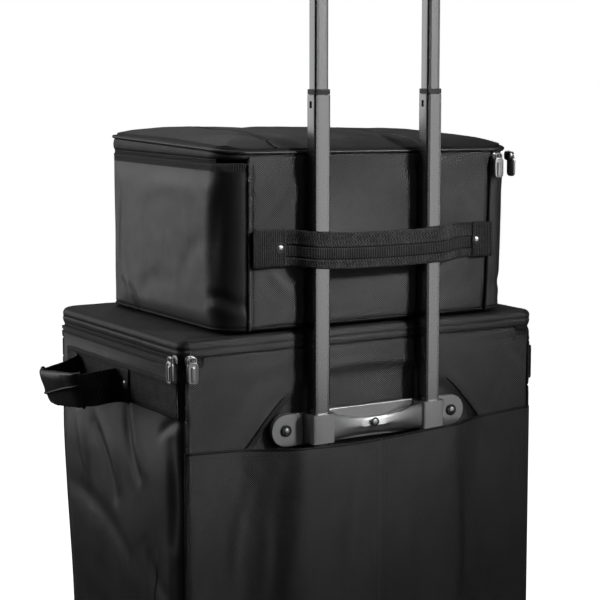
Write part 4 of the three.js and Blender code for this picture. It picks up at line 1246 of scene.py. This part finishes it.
def dome_screw(name, node, dy, r, body, dz=0.0, ring=True, shade_ring_scale=1.3):
    lo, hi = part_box(node)
    y0, y1 = lo[1] * 1000 - YR + dy, hi[1] * 1000 - YR + dy
    x, z = (lo[0] + hi[0]) * 500.0, (lo[2] + hi[2]) * 500.0 - H + dz
    rr = (hi[0] - lo[0]) * 500.0 * r
    hh = y1 - y0
    prof = [(0, rr * 0.9), (hh * 0.12, rr)]
    for t in np.linspace(0, 1, 9)[:-1]:
        prof.append((hh * (0.25 + 0.75 * math.sin(t * math.pi / 2)), rr * math.cos(t * math.pi / 2) ** 0.8 if t < 1 else 0.2))
    v, f = lathe(prof, rel([x, y0, z]), "y", 40)
    b = Build().add(v, f, 0)
    # The black ring round the dome is painted shade: a dark flange standing in for the shadowed recess round the head.
    if ring:
        prof = [(hh * 0.5 - 0.6, rr * 0.96), (hh * 0.5 - 0.6, rr * shade_ring_scale), (hh * 0.5 - 0.1, rr * (shade_ring_scale + 0.02)), (hh * 0.5 + 0.25, rr * (shade_ring_scale - 0.1)), (hh * 0.5 + 0.1, rr * 0.98)] if shade_ring_scale > 1.4 else [(hh * 0.62, rr * 0.98), (hh * 0.62, rr * shade_ring_scale), (hh * 0.74, rr * shade_ring_scale), (hh * 0.8, rr * (shade_ring_scale - 0.1)), (hh * 0.74, rr * 0.98)]
        v, f = lathe(prof, rel([x, y0, z]), "y", 40)
        b.add(v, f, 1)
    ob = b.make(name, [M_STEEL, M_BLACK], body, "steel_hardware", (node,))
    return fix_normals(ob)


dome_screw("strap_rivet_cap_left", "strap_rivet_left", 0.0, 1.22, "bag")
dome_screw("strap_rivet_cap_right", "strap_rivet_right", 0.0, 1.22, "bag")
dome_screw("bracket_screw_head_left", "bracket_screw_left", 0.0, 1.0, "case", shade_ring_scale=1.6)
dome_screw("bracket_screw_head_right", "bracket_screw_right", 0.0, 1.0, "case", shade_ring_scale=1.6)
dome_screw("bracket_screw_head_centre", "bracket_screw_centre", 1.0, 1.0, "case")


# ---- side bands and carry handles -----------------------------------------------------------------------
for sx, side, w in ((1, "left", 6), (-1, "right", 2)):
    yy = np.linspace(-291.0, -4.5, 150)
    zc = np.full(150, -65.8)
    c = case_wall_point(np.full(150, sx * 236.0), yy, w, zc, 1.4)
    c[:, 0] = sx * np.maximum(np.abs(c[:, 0]), 237.3)
    web_strip(c, (0, 0, 1), 40.0, 2.0, "side_band_webbing_" + side, "case", [M_WEB, M_RIB], bands=lambda a: 1 if abs(a) > 14 else 0, k=25, replaces=("side_band_" + side,), flip=1.0 * sx, profile=lambda xs: 0.3 * np.exp(-((np.abs(xs) - 14.0) / 0.7) ** 2))
    b = Build()
    for dz in (-17.6, 17.6):
        q = c.copy()
        q[:, 0] += sx * 1.15
        q[:, 2] += dz
        b.add(*stitches(rel(q), (sx, 0, 0), 3.4, 2.5, 0.38, 0.0))
    b.make("side_band_stitches_" + side, [M_THREAD], "case", "webbing")
    # carry strap
    pts = [(239.6, -118.0, -68.0), (240.0, -130.0, -68.2), (244.0, -139.5, -69.0), (256.0, -141.5, -70.0), (274.0, -139.0, -71.0), (287.5, -146.0, -72.0), (291.5, -164.0, -73.5),
           (292.0, -190.0, -76.5), (291.5, -216.0, -79.5), (287.0, -236.0, -80.5), (273.0, -246.5, -79.0), (256.0, -248.0, -75.5), (244.5, -251.0, -71.5), (240.2, -260.0, -69.5), (239.6, -272.0, -68.5)]
    p = smooth_path(pts, 150)
    p[:, 0] *= sx
    lean = sstep(250, 286, np.abs(p[:, 0]))[:, None]
    up = np.stack([sx * 0.36 * lean[:, 0], 0 * lean[:, 0], np.ones(len(p))], -1)
    up /= np.linalg.norm(up, axis=1)[:, None]
    t = np.gradient(p, axis=0)
    t /= np.linalg.norm(t, axis=1)[:, None]
    up = up - t * (up * t).sum(1)[:, None]
    up /= np.linalg.norm(up, axis=1)[:, None]
    ob = web_strip(p, up, 38.5, 2.0, "side_handle_webbing_" + side, "case", [M_WEB, M_RIB], bands=lambda a: 1 if abs(a) > 13.5 else 0, k=25, replaces=("side_handle_" + side,), flip=1.0 * sx, profile=lambda xs: 0.25 * np.exp(-((np.abs(xs) - 13.5) / 0.7) ** 2), ride=False)
    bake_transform(ob)
    # padded wrap folded round it
    sel = np.where((p[:, 1] < -143) & (p[:, 1] > -239) & (np.abs(p[:, 0]) > 281))[0]
    q, uq = p[sel], up[sel]
    tq = np.gradient(q, axis=0)
    tq /= np.linalg.norm(tq, axis=1)[:, None]
    nq = np.cross(tq, uq) * sx
    nq *= np.sign(nq[:, 0] * sx)[:, None]
    m = len(q)
    s = np.linspace(0, 1, m)
    fat = np.minimum(1, (np.sin(np.pi * np.clip(s, 0.02, 0.98))) ** 0.28)
    K = 40
    ang = np.linspace(0, 2 * np.pi, K, endpoint=False)
    sec_u = np.sign(np.cos(ang)) * np.abs(np.cos(ang)) ** 0.62
    sec_n = np.sign(np.sin(ang)) * np.abs(np.sin(ang)) ** 0.75
    rings = []
    for i in range(m):
        hw = 21.6 * (0.965 + 0.035 * fat[i]) + 0.35 * math.sin(i * 0.9)
        th = 4.6 * fat[i] + 0.9
        flap = 1.0 * np.exp(-((sec_u - (0.35 - 0.7 * s[i])) / 0.08) ** 2) * (sec_n > 0)
        rings.append(q[i] + uq[i] * (hw * sec_u)[:, None] + nq[i] * ((th * sec_n) + flap + 0.4 * noise(np.stack([s[i] * 7 + 0 * ang, ang, 0 * ang], -1), 7))[:, None])
    v, f = loft(rel(np.array(rings)))
    pad = fix_normals(Build().add(v, f).make("side_handle_pad_" + side, [M_SIDE], "side_handle_" + side, "case_fabric"))
    b = Build()
    for e in (0, m - 1):
        ring = rings[e]
        b.add(*sweep(rel(ring), 1.3, 8, closed=True))
    seam = q + uq * (21.6 * np.linspace(0.35, -0.35, m))[:, None] + nq * (4.6 * fat + 2.2)[:, None]
    b.add(*sweep(rel(seam), 1.3, 8))
    b.make("side_handle_piping_" + side, [M_PIPE], "side_handle_" + side, "webbing")
    b = Build()
    for yc in (-126.0, -264.5):
        prof = [(0, 4.4), (0.5, 5.0), (1.2, 4.8), (1.9, 3.6), (2.3, 2.0), (2.4, 0.4)]
        v, f = lathe([(sx * a, r) for a, r in prof], rel([sx * 240.6, yc, -66.5]), "x", 32)
        b.add(v, f)
    fix_normals(b.make("side_handle_rivets_" + side, [M_STEEL], "case", "steel_hardware"))


# ---- hard parts carried over with rounded edges -----------------------------------------------------------
def refine(node, mats, width=0.6, segs=2, angle=28, name=None, cut=(), weld=0.00005):
    src = frame["nodes"][node]
    me = src.data.copy()
    me.name = (name or node + "_finished")
    me.materials.clear()
    for m in mats:
        me.materials.append(m)
    bm = bmesh.new()
    bm.from_mesh(me)
    bmesh.ops.remove_doubles(bm, verts=bm.verts, dist=weld)
    bmesh.ops.dissolve_limit(bm, angle_limit=math.radians(1.0), verts=bm.verts, edges=bm.edges)
    for fc in bm.faces:
        fc.material_index = 0
        fc.smooth = True
    bm.to_mesh(me)
    bm.free()
    ob = bpy.data.objects.new(me.name, me)
    bpy.context.scene.collection.objects.link(ob)
    tools = []
    for x0, x1, y0, y1, z0, z1 in cut:
        q = rel([[x0, y0, z0], [x1, y0, z0], [x1, y1, z0], [x0, y1, z0], [x0, y0, z1], [x1, y0, z1], [x1, y1, z1], [x0, y1, z1]]) * 0.001
        tm = bpy.data.meshes.new("cutter")
        tm.from_pydata(q.tolist(), [], [(3, 2, 1, 0), (4, 5, 6, 7), (0, 1, 5, 4), (1, 2, 6, 5), (2, 3, 7, 6), (3, 0, 4, 7)])
        to = bpy.data.objects.new("cutter", tm)
        bpy.context.scene.collection.objects.link(to)
        tools.append(to)
        bo = ob.modifiers.new("cut", "BOOLEAN")
        bo.operation, bo.object, bo.solver = "DIFFERENCE", to, "EXACT"
    bev = ob.modifiers.new("edges", "BEVEL")
    bev.width, bev.segments, bev.limit_method, bev.angle_limit = width * 0.001, segs, "ANGLE", math.radians(angle)
    bev.use_clamp_overlap = True
    bev.harden_normals = False
    wn = ob.modifiers.new("shade", "WEIGHTED_NORMAL")
    wn.keep_sharp = False
    dg = bpy.context.evaluated_depsgraph_get()
    new = bpy.data.meshes.new_from_object(ob.evaluated_get(dg))
    ob.modifiers.clear()
    ob.data = new
    for to in tools:
        bpy.data.objects.remove(to, do_unlink=True)
    new.set_sharp_from_angle(angle=math.radians(50))
    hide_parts(node)
    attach(ob, BODY_OF[node])
    return ob


def tube_section(w, d):
    """Outline of a handle tube, counter-clockwise: flat faces that fall away in a narrow band beside each round corner."""
    hw, hd = w / 2, d / 2
    quad = [(hw, 0.0), (hw, hd - 4.4), (hw - 0.03, hd - 3.9)]
    for a in (5, 13, 21, 29, 37, 45, 53, 61, 69):
        t = math.radians(a)
        quad.append((hw - 2.1 + 2.1 * math.cos(t), hd - 2.9 + 2.4 * math.sin(t)))
    quad += [(hw - 2.0, hd - 0.56), (hw - 2.25, hd - 0.5), (hw - 4.0, hd - 0.07), (hw - 4.3, hd), (hw - 4.8, hd)]
    mir = [(-x, y) for x, y in reversed(quad)]
    top = quad + mir
    return np.array(top + [(-x, -y) for x, y in top[1:-1]])


def tube(node, w, d, wall, mat, holes=()):
    """A drawn tube, with its windows cut through one wall."""
    lo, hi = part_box(node)
    cx, cy = (lo[0] + hi[0]) * 500.0, (lo[1] + hi[1]) * 500.0
    z0, z1 = lo[2] * 1000.0, hi[2] * 1000.0
    sec = tube_section(w, d)
    k = np.array([(w / 2 - wall) / (w / 2), (d / 2 - wall) / (d / 2)])
    rings = []
    for sc, z in [(1 - 0.03, z0)] + [(1, z) for z in np.linspace(z0 + 0.3, z1 - 0.3, 48)] + [(1 - 0.03, z1)]:
        q = sec * sc
        rings.append(np.stack([q[:, 0] + cx, q[:, 1] + cy, np.full(len(q), z)], -1))
    for z in (z1, z1 - 0.2, z0 + 0.2, z0):
        q = sec * k
        rings.append(np.stack([q[:, 0] + cx, q[:, 1] + cy, np.full(len(q), z)], -1))
    rings.append(rings[0])
    v, f = loft(np.array(rings), cap0=False, cap1=False)
    me = bpy.data.meshes.new(node + "_drawn")
    me.from_pydata((v * 0.001).tolist(), [], f)
    me.materials.append(mat)
    bm = bmesh.new()
    bm.from_mesh(me)
    bmesh.ops.remove_doubles(bm, verts=bm.verts, dist=0.000005)
    bmesh.ops.recalc_face_normals(bm, faces=bm.faces)
    for fc in bm.faces:
        fc.smooth = True
    bm.to_mesh(me)
    bm.free()
    ob = bpy.data.objects.new(node + "_drawn", me)
    bpy.context.scene.collection.objects.link(ob)
    tools = []
    for hv, hf in holes:
        tm = bpy.data.meshes.new("cutter")
        tm.from_pydata((np.asarray(hv, float) * 0.001).tolist(), [], [tuple(int(i) for i in q) for q in hf])
        to = bpy.data.objects.new("cutter", tm)
        bpy.context.scene.collection.objects.link(to)
        fix_normals(to)
        tools.append(to)
        bo = ob.modifiers.new("cut", "BOOLEAN")
        bo.operation, bo.object, bo.solver = "DIFFERENCE", to, "EXACT"
    if tools:
        new = bpy.data.meshes.new_from_object(ob.evaluated_get(bpy.context.evaluated_depsgraph_get()))
        ob.modifiers.clear()
        ob.data = new
        for to in tools:
            bpy.data.objects.remove(to, do_unlink=True)
    ob.data.set_sharp_from_angle(angle=math.radians(10))
    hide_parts(node)
    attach(ob, BODY_OF[node])
    return ob


def block(x0, x1, y0, y1, z0, z1):
    q = rel([[x0, y0, z0], [x1, y0, z0], [x1, y1, z0], [x0, y1, z0], [x0, y0, z1], [x1, y0, z1], [x1, y1, z1], [x0, y1, z1]])
    return q, [(3, 2, 1, 0), (4, 5, 6, 7), (0, 1, 5, 4), (1, 2, 6, 5), (2, 3, 7, 6), (3, 0, 4, 7)]


S = ("left", "right")
def bracket():
    ob = refine("handle_bracket", [M_BRACKET], 0.7, 3, cut=[(-57.8, 57.8, 7.05, 40.0, -140.0, -80.0)])
    nx = 61
    xs = np.linspace(-58.4, 58.4, nx)
    u = np.abs(xs) / 58.0
    yf = 12.6 + 10.4 * u ** 2.0
    zr = -91.6 - 12.2 * (1 - u ** 2.3)
    rings = []
    for k in range(nx):
        y, z = yf[k], zr[k]
        bulge = 1.6 * (1 - u[k] ** 2)
        mid = (z - 121.5) / 2
        outer = [(y - 4.4, z - 0.9), (y - 3.2, z), (y - 2.0, z - 0.1), (y - 0.9, z - 1.2), (y - 0.1, z - 4.0), (y + bulge * 0.7, z - 8.0), (y + bulge, mid - 1.0), (y + bulge * 0.8, -113.5), (y - 0.4, -118.0), (y - 2.2, -121.4), (y - 5.0, -123.4), (y - 9.0, -124.0)]
        inner = [(6.4, -124.0), (6.4, -119.5), (y - 7.0, -119.0), (y - 4.8, -116.0), (y - 4.2, -110.0), (y - 4.4, z - 4.0)]
        rings.append([(xs[k], a, b) for a, b in outer + inner])
    v, f = loft(rel(np.array(rings)))
    bar = fix_normals(Build().add(v, f).make("bracket_dished_bar", [M_BRACKET], "case", "grey_moulding", angle=60))
    # the recess behind the bar: a back plate with a rolled lip
    v, f = sweep(rel(np.stack([np.linspace(-57.5, 57.5, 60), np.full(60, 5.6), np.full(60, -91.6)], -1)), 1.7, 12, ry=1.4)
    Build().add(v, f).make("bracket_recess_lip", [M_BRACKET], "case", "grey_moulding")


bracket()
refine("guide_foot", [M_BLACK], 0.8)
refine("case_base_plate", [M_BLACK], 1.5, 3)
refine("grip_body", [M_GRIP], 2.6, 4)
refine("grip_button", [M_BRACKET], 0.9, 3)
for s in S:
    refine("guide_tube_" + s, [M_TUBE_IN], 0.4)
    _lo, _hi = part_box("stage1_tube_" + s)
    _c = (_lo[0] + _hi[0]) * 500.0
    tube("stage1_tube_" + s, (_hi[0] - _lo[0]) * 1000.0, (_hi[1] - _lo[1]) * 1000.0, 1.2, M_TUBE, [block(_c + 7, _c + 12, 10.9, 16.1, 240.9, 248.1)])
    _lo, _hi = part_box("stage2_tube_" + s)
    tube("stage2_tube_" + s, (_hi[0] - _lo[0]) * 1000.0, (_hi[1] - _lo[1]) * 1000.0, 1.2, M_TUBE, [lathe([(3.0, 2.8), (10.0, 2.8)], rel([_c, 13.5, 244.5]), "x", 24)])
    refine("stage1_collar_" + s, [M_BLACK], 0.7)
    refine("stage1_glide_" + s, [M_BLACK], 0.3)
    refine("stage2_plug_" + s, [M_BLACK], 0.3)
    refine("lock_pin_" + s, [M_STEEL], 0.25)
    refine("release_rod_" + s, [M_STEEL], 0.2)
    refine("wheel_housing_" + s, [M_BLACK], 1.2, 3)
    refine("wheel_axle_" + s, [M_STEEL], 0.5)
    refine("wheel_tyre_" + s, [M_TYRE], 1.6, 3)
    refine("wheel_hub_" + s, [M_BRACKET], 0.5, 2)
    refine("front_foot_" + s, [M_FOOT], 1.6, 3)
def loop_rect(w, h, r, n=6):
    out = []
    for cx, cy, a0 in ((w / 2 - r, h / 2 - r, 0), (-w / 2 + r, h / 2 - r, 90), (-w / 2 + r, -h / 2 + r, 180), (w / 2 - r, -h / 2 + r, 270)):
        for t in np.linspace(0, 90, n):
            a = math.radians(a0 + t)
            out.append((cx + r * math.cos(a), cy + r * math.sin(a)))
    return np.array(out)


def relief(c, sd, ud, nd, w, h, steps):
    """A plate with a stepped face: steps are (inset, depth) going from the back's middle round to the front's middle."""
    rings = []
    for ins, dep in steps:
        q = loop_rect(w - 2 * ins, h - 2 * ins, max(0.35, min(w, h) * 0.36 - ins))
        rings.append(c + q[:, :1] * sd + q[:, 1:] * ud + dep * nd)
    return loft(rel(np.array(rings)))


def zip_pull(node, face):
    """A cast pull: a waisted plate with a raised rim and panel, an eye, and a link."""
    lo, hi = (np.array(v) * 1000.0 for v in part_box(node))
    lo[1] -= YR
    hi[1] -= YR
    lo[2] -= H
    hi[2] -= H
    c = (lo + hi) / 2
    nd = {"+y": (0, 1, 0), "+x": (1, 0, 0), "-x": (-1, 0, 0)}[face]
    nd = np.array(nd, float)
    ud = np.array((0, 0, 1.0))
    sd = np.cross(ud, nd)
    b = Build()
    h = hi[2] - lo[2]
    w = float(np.abs((hi - lo) @ np.abs(sd)))
    body_c = c - ud * 2.6 + nd * 0.6
    t = 1.9
    # frame with a rolled rim, a sunk dark panel and a raised spine
    b.add(*relief(body_c, sd, ud, nd, w, h - 5.4, [(4.6, -t), (1.2, -t), (0.35, -t + 0.4), (0, -t + 1.1), (0, t - 1.1), (0.35, t - 0.35), (1.0, t), (1.7, t - 0.1), (2.2, t - 1.1)]), 0)
    b.add(*relief(body_c, sd, ud, nd, w - 4.2, h - 9.6, [(3.2, -t + 0.6), (0.1, -t + 0.6), (0, t - 1.5), (0.4, t - 1.15), (1.4, t - 1.2), (3.2, t - 1.2)]), 1)
    b.add(*relief(body_c - ud * 1.0, sd, ud, nd, w * 0.34, h - 12.5, [(1.6, t - 1.6), (0.1, t - 1.6), (0, t - 0.7), (0.4, t - 0.15), (1.2, t + 0.1), (1.8, t + 0.12)]), 0)
    # shoulders, the eye at the top, and a link through it
    a = np.linspace(0, 2 * np.pi, 28, endpoint=False)
    top = c + ud * (h / 2 - 3.4) + nd * 0.4
    b.add(*sweep(rel(top + (np.cos(a) * w * 0.34)[:, None] * sd + (np.sin(a) * 2.9)[:, None] * ud), 1.15, 8, closed=True, up=tuple(nd)), 0)
    for q in (-1, 1):
        b.add(*sweep(rel(top + sd * (q * w * 0.30) + np.linspace(-4.6, -0.6, 6)[:, None] * ud), 1.3, 8, up=tuple(nd)), 0)
    ob = b.make(node + "_cast", [M_NICKEL, M_GUN], BODY_OF[node], "zip_metal", (node,), angle=50)
    fix_normals(ob)


def zip_slider(node, face):
    lo, hi = (np.array(v) * 1000.0 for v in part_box(node))
    lo[1] -= YR
    hi[1] -= YR
    lo[2] -= H
    hi[2] -= H
    c = (lo + hi) / 2
    nd = np.array({"+y": (0, 1, 0), "+x": (1, 0, 0), "-x": (-1, 0, 0)}[face], float)
    ud = np.array((0, 0, 1.0))
    sd = np.cross(ud, nd)
    ext = np.abs((hi - lo) @ np.abs(nd))
    w = float(np.abs((hi - lo) @ np.abs(sd)))
    h = float(hi[2] - lo[2])
    b = Build()
    base = c - nd * (ext / 2)
    b.add(*relief(base + nd * 1.1, sd, ud, nd, w, h, [(4.0, -0.5), (0.8, -0.5), (0.2, -0.3), (0, 0.0), (0, 0.5), (0.3, 0.95), (1.0, 1.2), (2.5, 1.35), (4.4, 1.4)]))
    # the bridge that carries the pull, with a cap
    a = np.linspace(0, np.pi, 18)
    arch = base + nd * 2.2 + (np.cos(a) * h * 0.36)[:, None] * ud + (np.sin(a) * (ext - 3.2))[:, None] * nd
    b.add(*sweep(rel(arch), 2.3, 12, up=tuple(sd), ry=1.0))
    # shoulders that spread round the zip's divider
    for q in (-1, 1):
        arc = np.linspace(0, 1, 10)
        b.add(*sweep(rel(base + nd * (1.7 + 0.5 * np.sin(arc * np.pi))[:, None] + sd * (q * (w * 0.24 + w * 0.13 * np.sin(arc * np.pi)))[:, None] + ud * (h * (0.34 - 0.62 * arc))[:, None]), 0.95, 8, up=tuple(nd)))
    b.add(*relief(base + nd * 2.0 + ud * h * 0.2, sd, ud, nd, w * 0.66, h * 0.4, [(1.8, -0.6), (0.2, -0.6), (0, 0.2), (0.4, 0.7), (1.2, 0.9), (1.9, 0.9)]))
    ob = b.make(node + "_cast", [M_NICKEL], BODY_OF[node], "zip_metal", (node,), angle=50)
    fix_normals(ob)


for n, f in (("case", "+x"), ("bag", "-x")):
    zip_slider(n + "_zip_slider_side", f)
    zip_pull(n + "_pull_tab_side", f)
    zip_slider(n + "_zip_slider_rear", "+y")
    zip_pull(n + "_pull_tab_rear", "+y")


def divider():
    rows = []
    x = np.array([-6, 6.0])
    P, N, W = outline(-6.0, 6.0, -262.0, -15.5, 5.0, 5.0, nr=6, ns=70, nf=6, nc=4)
    for ins, z in ((2.4, 16.0), (0.8, 17.5), (0, 20.0)):
        rows.append(np.stack([P[:, 0] - N[:, 0] * ins, P[:, 1] - N[:, 1] * ins, np.full(len(P), z)], -1))
    for z in np.linspace(24, 156, 50):
        quilt = 1.3 * (np.exp(-(((P[:, 1] + 300) % 48 - 24) / 3.0) ** 2) + np.exp(-(((z + 10) % 48 - 24) / 3.0) ** 2)) * (np.abs(P[:, 0]) > 5)
        rows.append(np.stack([P[:, 0] - N[:, 0] * quilt, P[:, 1] - N[:, 1] * quilt, np.full(len(P), z)], -1))
    for ins, z in ((0, 159.0), (0.8, 161.5), (2.4, 163.0)):
        rows.append(np.stack([P[:, 0] - N[:, 0] * ins, P[:, 1] - N[:, 1] * ins, np.full(len(P), z)], -1))
    v, f = loft(rel(np.array(rows)))
    ob = Build().add(v, f).make("bag_padded_divider", [M_LINING], "bag", "lining", ("bag_divider",))


divider()
